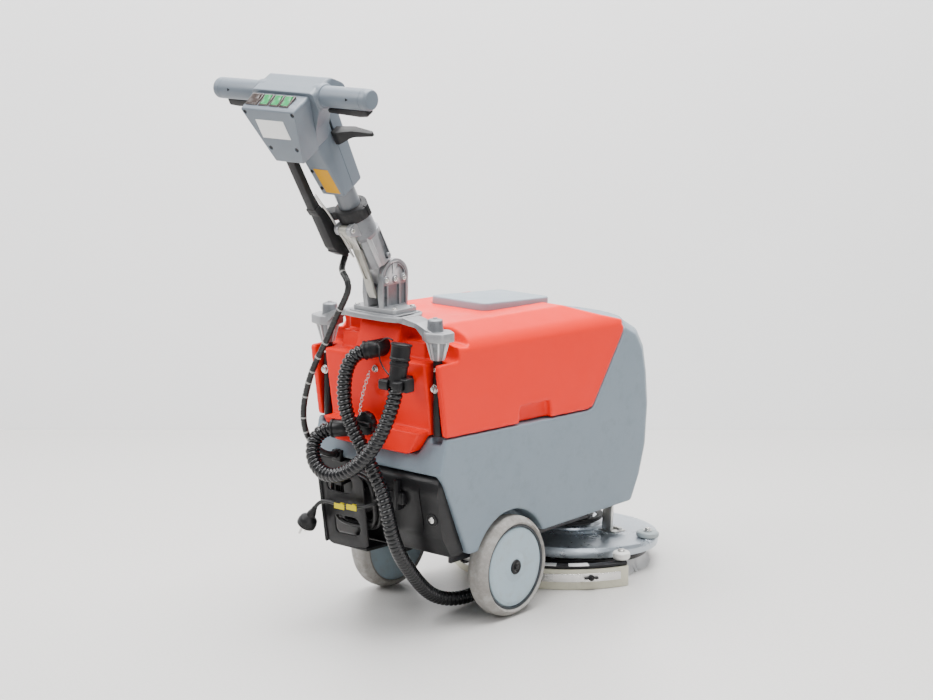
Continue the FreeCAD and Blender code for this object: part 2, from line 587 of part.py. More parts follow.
def head():
    tube, back = dim("tube_radius"), dim("grip_axis_back")
    up, centre = dim("grip_axis_up"), dim("tube_back")
    mast = cut("mast", cylinder("mast_outer", "dims.tube_radius", "dims.tube_length", (0, centre, 34)),
               cylinder("mast_inner", tube - 2.5, 320, (0, centre, 25)))
    node("telescope_tube", mast, COLUMN)
    neck = prism("neck_side", "YZ", [(-36, 200, 4), (20, 200, 6), (30, 322, 0), (-50, 322, 0)], 56)
    hole = cylinder("neck_bore", "dims.tube_radius", 130, (0, centre, 198))
    node("head_neck", cut("neck", neck, hole), COLUMN)
    plan = [(-33, 320, 4), (33, 320, 4), (50, 362, 40), (76, 400, 14), (76, 441, 10), (-76, 441, 10),
            (-76, 400, 14),
            (-50, 362, 40)]
    front = common("front_form", prism("front_face", "XZ", plan, 400),
                   prism("front_side", "YZ", [(-51, 322.3, 0), (30, 322.3, 0), (32, 385, 14), (3, 441, 12),
                                              (-51, 441, 3)], 200))
    core = box("front_core", (-30, -51.5, 328), (30, -4, 404))
    grips_bore = cylinder("front_grip_bore", 14, 200, (-100, back, up), "x")
    node("head_front_cover", cut("front_cover", front, core, grips_bore), COLUMN)
    rear_plan = [(-33, 318, 4), (33, 318, 4), (66, 434, 5), (-66, 434, 5)]
    rear = common("rear_form", prism("rear_face", "XZ", rear_plan, 400),
                  prism("rear_side", "YZ", [(-98, 318, 5), (-51.3, 322, 0), (-51.3, 442, 0), (-98, 433, 5)],
                        200))
    node("head_rear_cover", cut("rear_cover", rear, box("rear_core", (-36, -93, 334), (36, -50, 420)),
                                prism("switch_wells", "XY", [(-61, -89, 2), (45, -89, 2), (45, -60, 2),
                                                             (-61, -60, 2)],
                                      60, at(0, 0, 414), middle=False)), COLUMN)
    grip = turned("grip_turn", [(0, 0, 0), (19.5, 0, 3), (19.5, 100, 2), (17.5, 112, 3), (0, 112, 0)],
                  at(77, back, up, "x"))
    core_bar = cylinder("bar_core", 14, 154, (-77, back, up), "x")
    node("handle_grips", fuse("grip_bar", core_bar, both_sides("grips", grip)), COLUMN)
    paddle = prism("bail_bar", "XZ", [(78, up - 28, 2), (170, up - 20.2, 2), (170, up - 33, 4),
                                      (78, up - 32, 2)], 14,
                   at(0, back, 0))
    bail = fuse("bail_side", paddle, box("bail_root", (77, back - 6, up - 34), (86, -6, up - 27)),
                cylinder("bail_pin", 4.5, 9, (77, -6, up - 30), "x"))
    node("run_lever", both_sides("bail", bail), COLUMN)
    lever = prism("lever_side", "XY", [(36, -8, 2), (46, -8, 10), (66, 10, 12), (104, 19, 2), (106, 25, 2),
                                       (62, 22, 14),
                                       (40, 6, 6), (36, 2, 1)], 8, at(0, 0, 306), middle=False)
    node("release_lever", fuse("lever", lever, cylinder("lever_boss", 5.6, 12, (34, -6, 310), "y")), COLUMN)
    centres = (-47, -18, 8, 33)
    widths = (25, 20, 20, 20)
    names = ("main_switch", "brush_switch", "suction_switch", "water_switch")
    for name, x, width in zip(names, centres, widths):
        half = width / 2
        paddle = box(name + "_paddle", (x - half, -87, 429), (x + half, -62, 442))
        trunnion = cylinder(name + "_trunnion", 5, width, (x - half, -74.5, 430), "x")
        node(name, fuse(name + "_whole", paddle, trunnion), COLUMN)


# ---- hoses, cable and mains lead -----------------------------------------------------------------

SUCTION_ROUTE = ((11, -233, 548), (-8, -246, 543.5), (-24, -256, 524), (-31, -261, 495), (-33, -262, 460),
                 (-28, -262, 428), (-12, -262, 398), (9, -262, 370), (28, -262, 342), (50, -262, 308),
                 (68, -262, 275), (76, -260, 236), (74, -246, 196), (66, -216, 150), (54, -172, 106),
                 (42, -128, 66), (36, -88, 36), (42, -52, 20), (54, -16, 17), (54, 22, 17), (47, 46, 19),
                 (35, 66, 24), (20, 80, 31), (7, 92, 36.5), (0, 107, 40), (0, 123.2, 40))
DRAIN_ROUTE = ((104, -262, 512), (103, -266, 484), (99, -274, 455), (92, -283, 424), (79, -290, 393),
               (58, -295, 363), (30, -298, 336), (-3, -299, 316), (-40, -298, 306), (-74, -293, 314),
               (-97, -284, 336), (-102, -272, 364), (-84, -259, 386), (-60, -250, 388))
CONTROL_ROUTE = ((-38, -246.6, 726.8), (-37, -256, 712), (-22, -277, 701), (-1, -285, 688), (6, -287, 672),
                 (-6, -285, 649), (-26, -283, 621), (-44, -280, 592), (-58, -281, 564), (-78, -281, 533),
                 (-97, -281, 500), (-112, -280, 464), (-124, -278, 426), (-129, -273, 388), (-124, -262, 354),
                 (-110, -246, 333), (-98, -230, 325), (-98, -216, 325))
LEAD_ROUTE = ((24, -229.3, 260.5), (34, -233.3, 259.9), (37, -243.9, 256.4), (28, -254.2, 250.9),
              (7, -260.4, 245),
              (-20, -264.1, 242.5), (-44, -266, 241.7), (-74, -268, 246), (-95, -272, 240), (-102, -273, 228))


def tube_along(name, route, diameter):
    """A round tube along straight runs joined by tangent arcs, each as large as its two runs allow."""
    points = [Vector(*p) for p in route]
    edges = []
    start = points[0]
    radii = []
    for before, here, after in zip(points, points[1:], points[2:]):
        to_before, to_after = (before - here), (after - here)
        turn = math.pi - to_before.getAngle(to_after)
        reach = 0.45 * min(to_before.Length, to_after.Length)
        radii.append(reach / math.tan(turn / 2))
        first, last = here + to_before.normalize() * reach, here + to_after.normalize() * reach
        bisector = (to_before + to_after).normalize()
        middle = here + bisector * (math.hypot(radii[-1], reach) - radii[-1])
        edges.append(Part.LineSegment(start, first).toShape())
        edges.append(Part.Arc(first, middle, last).toShape())
        start = last
    edges.append(Part.LineSegment(start, points[-1]).toShape())
    path = Part.Wire(edges)
    ring = Part.Wire(Part.makeCircle(diameter / 2, points[0], points[1] - points[0]))
    shape = path.makePipeShell([ring], True, False)
    print("%s: length %.0f, least radius %.0f, volume ratio %.4f" % (
        name, path.Length, min(radii), shape.Volume / (path.Length * math.pi * diameter ** 2 / 4)))
    print("   radii", [round(r) for r in radii])
    return solid_feature(name + "_tube", shape)


UP_THE_CUFF = Rotation(Vector(0, 0, 1), beyond(DRAIN_ROUTE, 0, 1) - Vector(*DRAIN_ROUTE[0]))


def hoses():
    hose, cable = dim("hose_diameter"), dim("cable_diameter")
    node("suction_hose", tube_along("suction_hose", SUCTION_ROUTE, hose))
    node("drain_hose", tube_along("drain_hose", DRAIN_ROUTE, hose))
    node("control_cable", tube_along("control_cable", CONTROL_ROUTE, cable))
    corner = beyond(SUCTION_ROUTE, 0, 7)
    node("suction_elbow", fuse("elbow", rod("elbow_mouth", 18, SUCTION_ROUTE[0], corner),
                               rod("elbow_stub", 17, corner, (corner.x, -212, corner.z))))
    corner = beyond(DRAIN_ROUTE, -1, 16)
    node("drain_elbow", fuse("drain_bend", rod("drain_mouth", 17, DRAIN_ROUTE[-1], corner),
                             rod("drain_stub", 16, corner, (corner.x, -222.2, corner.z)),
                             cylinder("drain_flange", 18, 5, (corner.x, -227.2, corner.z), "y")))
    cuff = rod("drain_cuff", 17, DRAIN_ROUTE[0], beyond(DRAIN_ROUTE, 0, 32))
    node("drain_cap", turned("drain_cap_body", [(0, 0, 0), (20, 0, 2), (21, 26, 3), (16, 34, 4), (0, 34, 0)],
                             Placement(beyond(DRAIN_ROUTE, 0, 32.4), UP_THE_CUFF)))
    strap = box("clip_bridge", (94, -247, 500), (110, -239, 520))
    clip = cut("clip", box("clip_block", (72, -284, 490), (128, -236, 506)),
               cylinder("clip_bore", 16.5, 30, (103.4, -263.8, 484)))
    arm = box("clip_arm", (80, -240, 490), (96, -211, 506))
    node("hose_clip", fuse("clip_whole", clip, arm, strap, cuff))
    node("drain_knob", turned("drain_knob_body", [(0, 0, 0), (17, 0, 3), (17, 20, 4), (0, 20, 0)],
                              Placement(Vector(-6, -222.5, 402), Rotation(Vector(1, 0, 0), 90))))


def mains_lead():
    """The charger lead wound in an upright oval round the holder's four arms, with its plug hanging beside it."""
    ring = [(-137, 182, 30), (-10, 182, 30), (-10, 308, 30), (-137, 308, 30)]
    outer = prism("coil_outer", "XZ", ring, 26, at(0, -228, 0))
    inner = prism("coil_inner", "XZ", shrink(ring, 24), 40, at(0, -228, 0))
    coil = cut("coil", outer, inner)
    coil.Placement = HOLDER_LEAN.multiply(coil.Placement)
    node("mains_coil", coil)
    node("mains_lead", tube_along("mains_lead", LEAD_ROUTE, dim("lead_diameter")))
    relief = cone("plug_relief", 9, 5, 22, (0, 0, 0))
    body = cylinder("plug_body", 18, 22, (0, 0, -22))
    pins = [cylinder("plug_pin_%d" % i, 2.4, 19, (x, 0, -41)) for i, x in enumerate((-9.5, 9.5))]
    last = Vector(*LEAD_ROUTE[-1])
    direction = last - Vector(*LEAD_ROUTE[-2])
    place = Placement(last + direction.normalize() * 22, Rotation(Vector(0, 0, -1), direction))
    plug = fuse("plug", relief, body, *pins)
    plug.Placement = place
    node("mains_plug", plug)


def main():
    for build in (lower_tank, recovery_tank, tank_lid, wheels, chassis_frame, internals, rear_housing, deck,
                  squeegee, handle_fork, column, head, hoses, mains_lead):
        build()
    doc.recompute()
    bad = [o.Name for o in doc.Objects if "Invalid" in o.State or "Error" in o.State]
    for part in PARTS:
        if part.Shape.isNull() or not part.Shape.isValid() or not part.Shape.Solids:
            bad.append(part.Label)
    if bad:
        raise RuntimeError("failed: " + ", ".join(bad))
    os.makedirs("parts", exist_ok=True)
    whole = FreeCAD.BoundBox()
    for part in PARTS:
        part.Shape.exportStep("parts/%s.step" % part.Label)
        whole.add(part.Shape.BoundBox)
    print(len(PARTS), "sub-parts", whole)


main()
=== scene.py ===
import bmesh
import bpy
import json
import math
import random
from mathutils import Matrix, Vector, noise


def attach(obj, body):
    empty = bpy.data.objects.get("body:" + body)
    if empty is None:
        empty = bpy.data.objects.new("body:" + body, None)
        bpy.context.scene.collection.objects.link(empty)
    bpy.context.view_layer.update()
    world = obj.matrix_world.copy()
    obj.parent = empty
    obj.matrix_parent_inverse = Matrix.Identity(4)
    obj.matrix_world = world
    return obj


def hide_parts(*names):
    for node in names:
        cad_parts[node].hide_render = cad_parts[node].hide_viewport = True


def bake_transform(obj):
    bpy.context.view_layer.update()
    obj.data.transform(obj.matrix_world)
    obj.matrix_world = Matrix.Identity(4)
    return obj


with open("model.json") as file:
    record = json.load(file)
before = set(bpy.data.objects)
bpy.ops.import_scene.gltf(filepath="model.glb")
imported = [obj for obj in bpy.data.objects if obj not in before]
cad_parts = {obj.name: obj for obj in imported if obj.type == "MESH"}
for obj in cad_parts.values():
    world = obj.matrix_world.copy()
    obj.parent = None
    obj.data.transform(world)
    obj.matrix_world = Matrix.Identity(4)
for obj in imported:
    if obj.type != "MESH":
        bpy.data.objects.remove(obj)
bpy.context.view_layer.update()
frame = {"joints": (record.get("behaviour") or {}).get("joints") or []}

JOINTS = {joint["name"]: joint for joint in frame["joints"]}
MM = 0.001
TAU = 2 * math.pi

# ---- the machine's own frames, in millimetres -----------------------------------------------------
# Lengths are laid out from the rear wheel axle, as in the design; each frame turns them into metres.

AXLE_Y = JOINTS["right_wheel_spin"]["pos_m"][1]
SCALE = Matrix.Scale(MM, 4)
MACHINE = Matrix.Translation((0, AXLE_Y, 0)) @ SCALE
UP = Vector(JOINTS["handle_height"]["axis"])
LEAN = math.atan2(-UP.y, UP.z)
COLUMN_FOOT = (0, -188, 692)
COLUMN = MACHINE @ Matrix.Translation(COLUMN_FOOT) @ Matrix.Rotation(LEAN, 4, "X")
SPIN = Vector(JOINTS["brush_spin"]["axis"])
TILT = math.atan2(SPIN.y, SPIN.z)
DECK = (Matrix.Translation(Vector(JOINTS["brush_spin"]["pos_m"]) + SPIN * 30 * MM)
        @ Matrix.Rotation(-TILT, 4, "X") @ SCALE)
SWING = Matrix.Translation((0, JOINTS["squeegee_swing"]["pos_m"][1], 0)) @ SCALE
TURN_X = Matrix.Rotation(math.pi / 2, 4, "Y")
TURN_Y = Matrix.Rotation(-math.pi / 2, 4, "X")
HOLDER_LEAN = (Matrix.Translation((36, -250, 300)) @ Matrix.Rotation(math.radians(8), 4, "X")
               @ Matrix.Translation((0, 247, -300)))


# ---- mesh tools -----------------------------------------------------------------------------------

def mesh_piece(name, verts, faces):
    mesh = bpy.data.meshes.new(name)
    mesh.from_pydata([tuple(v) for v in verts], [], faces)
    mesh.validate()
    piece = bpy.data.objects.new(name, mesh)
    bpy.context.scene.collection.objects.link(piece)
    return piece


def rounded(corners, steps=6):
    """Points round a closed outline of (a, b, corner radius) corners."""
    points = []
    count = len(corners)
    for i, (a, b, radius) in enumerate(corners):
        here = Vector((a, b))
        before = (Vector(corners[i - 1][:2]) - here).normalized()
        after = (Vector(corners[(i + 1) % count][:2]) - here).normalized()
        half = before.angle(after) / 2
        if radius == 0 or half > 1.56:
            points.append(here)
            continue
        reach = radius / math.tan(half)
        centre = here + (before + after).normalized() * (radius / math.sin(half))
        start, stop = here + before * reach - centre, here + after * reach - centre
        sweep = math.pi - 2 * half
        if start.x * stop.y - start.y * stop.x < 0:
            sweep = -sweep
        for k in range(steps + 1):
            angle = sweep * k / steps
            c, s = math.cos(angle), math.sin(angle)
            points.append(centre + Vector((c * start.x - s * start.y, s * start.x + c * start.y)))
    return points


def prism(name, plane, corners, low, high, steps=6):
    """A rounded outline on the YZ, XZ or XY plane, drawn out between two heights of that plane's normal."""
    ring = rounded(corners, steps)
    put = {"YZ": lambda a, b, n: (n, a, b), "XZ": lambda a, b, n: (a, n, b), "XY": lambda a, b,
           n: (a, b, n)}[plane]
    count = len(ring)
    verts = [put(p.x, p.y, n) for n in (low, high) for p in ring]
    sides = [(i, (i + 1) % count, count + (i + 1) % count, count + i) for i in range(count)]
    piece = mesh_piece(name, verts, sides + [tuple(range(count))[::-1], tuple(range(count, 2 * count))])
    return tidy(piece)


def block(name, low, high):
    x0, y0, z0 = low
    x1, y1, z1 = high
    return prism(name, "XY", [(x0, y0, 0), (x1, y0, 0), (x1, y1, 0), (x0, y1, 0)], z0, z1)


def tidy(piece):
    """Merges doubled points and turns every face outwards."""
    bm = bmesh.new()
    bm.from_mesh(piece.data)
    bmesh.ops.remove_doubles(bm, verts=bm.verts, dist=0.001)
    bmesh.ops.recalc_face_normals(bm, faces=bm.faces)
    bm.to_mesh(piece.data)
    bm.free()
    return piece


def lathe(name, corners, steps=72, place=None, arc=TAU):
    """Turned about Z from a rounded outline of (radius, height, corner radius) corners."""
    ring = rounded(corners, 5)
    count = len(ring)
    whole = arc == TAU
    turns = steps if whole else steps + 1
    verts = []
    for k in range(turns):
        a = arc * k / steps
        verts += [(max(p.x, 0) * math.cos(a), max(p.x, 0) * math.sin(a), p.y) for p in ring]
    faces = []
    for k in range(steps):
        here, there = k * count, ((k + 1) % turns) * count
        for i in range(count):
            j = (i + 1) % count
            faces.append((here + i, here + j, there + j, there + i))
    if not whole:
        faces += [tuple(range(count)), tuple(range((turns - 1) * count, turns * count))[::-1]]
    piece = tidy(mesh_piece(name, verts, faces))
    return placed(piece, place) if place else piece


def placed(piece, matrix):
    piece.data.transform(matrix)
    if matrix.determinant() < 0:
        piece.data.flip_normals()
    return piece


def at(x, y, z, turn=None):
    move = Matrix.Translation((x, y, z))
    return move @ turn if turn else move


def rod(name, radius, start, end, steps=24, bevel=0.6):
    """A round bar with softened ends between two points."""
    start, end = Vector(start), Vector(end)
    run = end - start
    b = min(bevel, radius * 0.4)
    piece = lathe(name, [(0, 0, 0), (radius, 0, b), (radius, run.length, b), (0, run.length, 0)], steps)
    return placed(piece, Matrix.Translation(start) @ run.to_track_quat("Z", "Y").to_matrix().to_4x4())


def applied(piece, kind, **settings):
    modifier = piece.modifiers.new(kind, kind)
    for key, value in settings.items():
        setattr(modifier, key, value)
    graph = bpy.context.evaluated_depsgraph_get()
    mesh = bpy.data.meshes.new_from_object(piece.evaluated_get(graph))
    piece.modifiers.clear()
    old, piece.data = piece.data, mesh
    bpy.data.meshes.remove(old)
    return piece


def drop(*pieces):
    for piece in pieces:
        bpy.data.objects.remove(piece)


def cut(piece, *tools):
    for tool in tools:
        applied(piece, "BOOLEAN", operation="DIFFERENCE", object=tool, solver="EXACT")
        drop(tool)
    return piece


def common(piece, *tools):
    for tool in tools:
        applied(piece, "BOOLEAN", operation="INTERSECT", object=tool, solver="EXACT")
        drop(tool)
    return piece


def union(piece, *tools):
    for tool in tools:
        applied(piece, "BOOLEAN", operation="UNION", object=tool, solver="EXACT")
        drop(tool)
    return piece


def joined(name, *pieces):
    """One mesh of several shells, which may touch but aren't merged."""
    bm = bmesh.new()
    for piece in pieces:
        bm.from_mesh(piece.data)
    mesh = bpy.data.meshes.new(name)
    bm.to_mesh(mesh)
    bm.free()
    whole = bpy.data.objects.new(name, mesh)
    bpy.context.scene.collection.objects.link(whole)
    drop(*pieces)
    return whole


def mirrored(piece, name=None):
    """A copy on the machine's other side."""
    twin = bpy.data.objects.new(name or piece.name + "_left", piece.data.copy())
    bpy.context.scene.collection.objects.link(twin)
    return placed(twin, Matrix.Scale(-1, 4, (1, 0, 0)))


def both_sides(name, piece):
    return joined(name, piece, mirrored(piece))


def bevel(piece, width, segments=3, angle=30):
    applied(piece, "BEVEL", width=width, segments=segments, limit_method="ANGLE",
            angle_limit=math.radians(angle), harden_normals=False, use_clamp_overlap=True)
    return piece


def moulded(piece, voxel, rounds, keep=1.0):
    """Soft rotomoulded edges: an even skin over the cut shape, relaxed, then thinned out."""
    applied(piece, "REMESH", mode="VOXEL", voxel_size=voxel, adaptivity=0.0)
    applied(piece, "SMOOTH", factor=0.5, iterations=rounds)
    if keep < 1:
        applied(piece, "DECIMATE", decimate_type="COLLAPSE", ratio=keep)
    return piece


def shaded(piece, angle=38):
    piece.data.shade_smooth()
    piece.data.set_sharp_from_angle(angle=math.radians(angle))
    return piece


def ease(value, low, high):
    t = min(max((value - low) / (high - low), 0.0), 1.0)
    return t * t * (3 - 2 * t)


def frames_along(points):
    """A direction and two cross axes at each point of a path, carried along without twist."""
    count = len(points)
    tangents = [(points[min(i + 1, count - 1)] - points[max(i - 1, 0)]).normalized() for i in range(count)]
    side = tangents[0].orthogonal().normalized()
    rings = []
    for tangent in tangents:
        side = (side - tangent * side.dot(tangent)).normalized()
        rings.append((tangent, side, tangent.cross(side)))
    return rings


def swept(name, points, radius, sides=16):
    """A closed tube; radius is a number or a function of (distance along, angle round)."""
    reach = radius if callable(radius) else (lambda along, angle: radius)
    rings = frames_along(points)
    verts = []
    along = 0.0
    for i, (point, (_, side, up)) in enumerate(zip(points, rings)):
        if i:
            along += (point - points[i - 1]).length
        for k in range(sides):
            a = TAU * k / sides
            verts.append(point + (side * math.cos(a) + up * math.sin(a)) * reach(along, a))
    faces = []
    for i in range(len(points) - 1):
        for k in range(sides):
            j = (k + 1) % sides
            faces.append((i * sides + k, i * sides + j, (i + 1) * sides + j, (i + 1) * sides + k))
    last = (len(points) - 1) * sides
    faces += [tuple(range(sides))[::-1], tuple(range(last, last + sides))]
    return mesh_piece(name, verts, faces)


def spaced(points, step):
    """The same line with its points an even step apart."""
    out = [points[0].copy()]
    left = step
    for a, b in zip(points, points[1:]):
        run = b - a
        length = run.length
        gone = left
        while gone <= length:
            out.append(a + run * (gone / length))
            gone += step
        left = gone - length
    if (points[-1] - out[-1]).length > step * 0.3:
        out.append(points[-1].copy())
    return out


def spline_line(route, resolution=24):
    """The smooth line of a route, in metres: a NURBS spline with the route's points as its control points."""
    curve = bpy.data.curves.new("route", "CURVE")
    curve.dimensions = "3D"
    curve.resolution_u = resolution
    spline = curve.splines.new("NURBS")
    spline.points.add(len(route) - 1)
    for control, point in zip(spline.points, route):
        control.co = (*(MACHINE @ Vector(point)), 1)
    spline.order_u = 3
    spline.use_endpoint_u = True
    holder = bpy.data.objects.new("route", curve)
    bpy.context.scene.collection.objects.link(holder)
    graph = bpy.context.evaluated_depsgraph_get()
    mesh = bpy.data.meshes.new_from_object(holder.evaluated_get(graph))
    points = [v.co.copy() for v in mesh.vertices]
    bpy.data.objects.remove(holder)
    return points


def ready(piece, body, slot, material, *nodes, angle=38):
    """Shades a finished piece, gives it its material, and lets it ride on its body."""
    shaded(piece, angle)
    piece.data.materials.clear()
    piece.data.materials.append(material)
    if body:
        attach(piece, body)
    if nodes:
        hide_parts(*nodes)
    return piece


# ---- materials ------------------------------------------------------------------------------------

def nodes_of(name):
    material = bpy.data.materials.new(name)
    material.use_nodes = True
    tree = material.node_tree
    return material, tree, tree.nodes["Principled BSDF"]


def noise_node(tree, scale, detail=4.0, rough=0.55, source=None):
    node = tree.nodes.new("ShaderNodeTexNoise")
    node.inputs["Scale"].default_value = scale
    node.inputs["Detail"].default_value = detail
    node.inputs["Roughness"].default_value = rough
    if source is None:
        source = tree.nodes.new("ShaderNodeTexCoord").outputs["Object"]
    tree.links.new(source, node.inputs["Vector"])
    return node


def ramp_node(tree, source, *stops):
    node = tree.nodes.new("ShaderNodeValToRGB")
    elements = node.color_ramp.elements
    while len(elements) < len(stops):
        elements.new(0.5)
    for element, (place, value) in zip(elements, stops):
        element.position = place
        element.color = (*value, 1) if isinstance(value, tuple) else (value, value, value, 1)
    tree.links.new(source, node.inputs["Fac"])
    return node


def mix_node(tree, factor, first, second, blend="MIX"):
    node = tree.nodes.new("ShaderNodeMix")
    node.data_type = "RGBA"
    node.blend_type = blend
    for value, socket in ((factor, node.inputs["Factor"]), (first, node.inputs["A"]),
                          (second, node.inputs["B"])):
        if isinstance(value, bpy.types.NodeSocket):
            tree.links.new(value, socket)
        elif isinstance(value, tuple):
            socket.default_value = (*value, 1)
        else:
            socket.default_value = value
    return node.outputs["Result"]


def bump_node(tree, height, strength, distance, under=None):
    node = tree.nodes.new("ShaderNodeBump")
    node.inputs["Strength"].default_value = strength
    node.inputs["Distance"].default_value = distance
    tree.links.new(height, node.inputs["Height"])
    if under:
        tree.links.new(under, node.inputs["Normal"])
    return node.outputs["Normal"]


def worn_edges(tree, low=0.52, high=0.60):
    """White on outer edges and corners, black elsewhere."""
    geometry = tree.nodes.new("ShaderNodeNewGeometry")
    return ramp_node(tree, geometry.outputs["Pointiness"], (low, 0.0), (high, 1.0)).outputs["Color"]


def plastic(name, colour, rough=0.45, vary=0.08, grain=900.0, grain_depth=0.00012, dust=None,
            dust_amount=0.0,
            scuffs=0.0, edge=None, coat=0.0, shine=0.5):
    """Moulded plastic: a faint mottle, a fine grain, scuffs and a little dust where it has them."""
    material, tree, shader = nodes_of(name)
    wide = noise_node(tree, 7.0, 5.0)
    light = tuple(min(c * (1 + vary), 1) for c in colour)
    dark = tuple(c * (1 - vary) for c in colour)
    base = mix_node(tree, wide.outputs["Fac"], dark, light)
    if edge:
        base = mix_node(tree, worn_edges(tree), base, edge)
    if dust:
        soil = noise_node(tree, 34.0, 8.0, 0.7)
        amount = ramp_node(tree, soil.outputs["Fac"], (0.5, 0.0), (0.8, dust_amount)).outputs["Color"]
        base = mix_node(tree, amount, base, dust)
    tree.links.new(base, shader.inputs["Base Color"])
    patch = noise_node(tree, 23.0, 6.0, 0.65)
    gloss = ramp_node(tree, patch.outputs["Fac"], (0.3, max(rough - 0.07, 0.05)),
                      (0.75, min(rough + 0.1, 1.0)))
    tree.links.new(gloss.outputs["Color"], shader.inputs["Roughness"])
    fine = noise_node(tree, grain, 2.0, 0.5)
    normal = bump_node(tree, fine.outputs["Fac"], 0.35, grain_depth)
    if scuffs:
        coordinate = tree.nodes.new("ShaderNodeTexCoord").outputs["Object"]
        stretch = tree.nodes.new("ShaderNodeMapping")
        stretch.inputs["Scale"].default_value = (18, 3, 60)
        stretch.inputs["Rotation"].default_value = (0.3, 0.1, 0.2)
        tree.links.new(coordinate, stretch.inputs["Vector"])
        lines = noise_node(tree, 9.0, 9.0, 0.8, stretch.outputs["Vector"])
        marks = ramp_node(tree, lines.outputs["Fac"], (0.66, 0.0), (0.70, 1.0))
        normal = bump_node(tree, marks.outputs["Color"], scuffs, 0.0002, normal)
    tree.links.new(normal, shader.inputs["Normal"])
    shader.inputs["Specular IOR Level"].default_value = shine
    shader.inputs["Coat Weight"].default_value = coat
    shader.inputs["Coat Roughness"].default_value = 0.25
    return material


def metal(name, colour, rough=0.3, vary=0.12, grain=260.0, grain_depth=0.0002, stretch=(1, 1, 1),
          edge=None, dirt=None,
          metallic=1.0):
    """Metal with a drawn, cast or turned grain, brighter on its worn edges and spotted with darker dirt."""
    material, tree, shader = nodes_of(name)
    shader.inputs["Metallic"].default_value = metallic
    wide = noise_node(tree, 18.0, 6.0, 0.6)
    light = tuple(min(c * (1 + vary), 1) for c in colour)
    dark = tuple(c * (1 - vary) for c in colour)
    base = mix_node(tree, wide.outputs["Fac"], dark, light)
    if dirt:
        spots = noise_node(tree, 60.0, 8.0, 0.75)
        amount = ramp_node(tree, spots.outputs["Fac"], (0.52, 0.0), (0.72, 0.75)).outputs["Color"]
        base = mix_node(tree, amount, base, dirt)
    if edge:
        base = mix_node(tree, worn_edges(tree), base, edge)
    tree.links.new(base, shader.inputs["Base Color"])
    gloss = ramp_node(tree, wide.outputs["Fac"], (0.25, max(rough - 0.08, 0.05)), (0.8, rough + 0.15))
    tree.links.new(gloss.outputs["Color"], shader.inputs["Roughness"])
    coordinate = tree.nodes.new("ShaderNodeTexCoord").outputs["Object"]
    mapping = tree.nodes.new("ShaderNodeMapping")
    mapping.inputs["Scale"].default_value = stretch
    tree.links.new(coordinate, mapping.inputs["Vector"])
    fine = noise_node(tree, grain, 3.0, 0.6, mapping.outputs["Vector"])
    tree.links.new(bump_node(tree, fine.outputs["Fac"], 0.5, grain_depth), shader.inputs["Normal"])
    return material


def tyre_rubber(name):
    """Pale grey rubber, with brown floor dirt ground into the tread's rim."""
    material, tree, shader = nodes_of(name)
    soil = noise_node(tree, 45.0, 9.0, 0.75)
    smear = noise_node(tree, 9.0, 5.0, 0.6)
    base = ramp_node(tree, soil.outputs["Fac"], (0.30, (0.07, 0.055, 0.045)), (0.48, (0.20, 0.18, 0.155)),
                     (0.62, (0.36, 0.35, 0.33))).outputs["Color"]
    base = mix_node(tree, smear.outputs["Fac"], base, (0.33, 0.32, 0.305))
    tree.links.new(base, shader.inputs["Base Color"])
    gloss = ramp_node(tree, soil.outputs["Fac"], (0.3, 0.9), (0.7, 0.6))
    tree.links.new(gloss.outputs["Color"], shader.inputs["Roughness"])
    normal = bump_node(tree, soil.outputs["Fac"], 0.5, 0.0006)
    tree.links.new(normal, shader.inputs["Normal"])
    return material


def hose_rubber(name, colour=(0.006, 0.006, 0.007), rough=0.15):
    material, tree, shader = nodes_of(name)
    dust = noise_node(tree, 70.0, 7.0, 0.7)
    amount = ramp_node(tree, dust.outputs["Fac"], (0.55, 0.0), (0.85, 0.25)).outputs["Color"]
    base = mix_node(tree, amount, colour, (0.05, 0.048, 0.045))
    tree.links.new(base, shader.inputs["Base Color"])
    gloss = ramp_node(tree, dust.outputs["Fac"], (0.35, rough), (0.8, rough + 0.15))
    tree.links.new(gloss.outputs["Color"], shader.inputs["Roughness"])
    fine = noise_node(tree, 1400.0, 2.0)
    tree.links.new(bump_node(tree, fine.outputs["Fac"], 0.25, 0.0001), shader.inputs["Normal"])
    return material


RED = plastic("tank_red", (0.84, 0.012, 0.002), rough=0.42, vary=0.03, grain=1100, scuffs=0.15, shine=0.2)
GREY = plastic("tank_grey", (0.175, 0.222, 0.262), rough=0.44, vary=0.05, grain=1100,
               dust=(0.10, 0.11, 0.12),
               dust_amount=0.35, scuffs=0.25)
HEAD = plastic("head_grey", (0.125, 0.150, 0.178), rough=0.40, vary=0.05, grain=1500, grain_depth=0.0002)
BLACK = plastic("black_plastic", (0.006, 0.006, 0.007), rough=0.36, vary=0.25, grain=1500,
                grain_depth=0.0002,
                dust=(0.04, 0.039, 0.038), dust_amount=0.3, shine=0.3)
CAST = metal("cast_metal", (0.17, 0.178, 0.19), rough=0.40, vary=0.3, grain=420, grain_depth=0.0005,
             dirt=(0.06, 0.06, 0.062),
             edge=(0.62, 0.62, 0.63), metallic=0.45)
STEEL = metal("steel", (0.70, 0.69, 0.67), rough=0.24, grain=500, stretch=(1, 12, 1))
ZINC = metal("galvanised", (0.60, 0.60, 0.58), rough=0.36, vary=0.25, grain=90)
TYRE = tyre_rubber("tyre")
RIM = plastic("wheel_grey", (0.33, 0.42, 0.47), rough=0.45, vary=0.06, grain=1300,
              dust=(0.25, 0.23, 0.20), dust_amount=0.5)
LID = plastic("lid_grey", (0.23, 0.28, 0.32), rough=0.45, vary=0.04, grain=900, grain_depth=0.0002)
SOFT_BLACK = plastic("black_moulding", (0.010, 0.010, 0.011), rough=0.5, vary=0.2,
                     dust=(0.05, 0.048, 0.046), dust_amount=0.3,
                     shine=0.3)
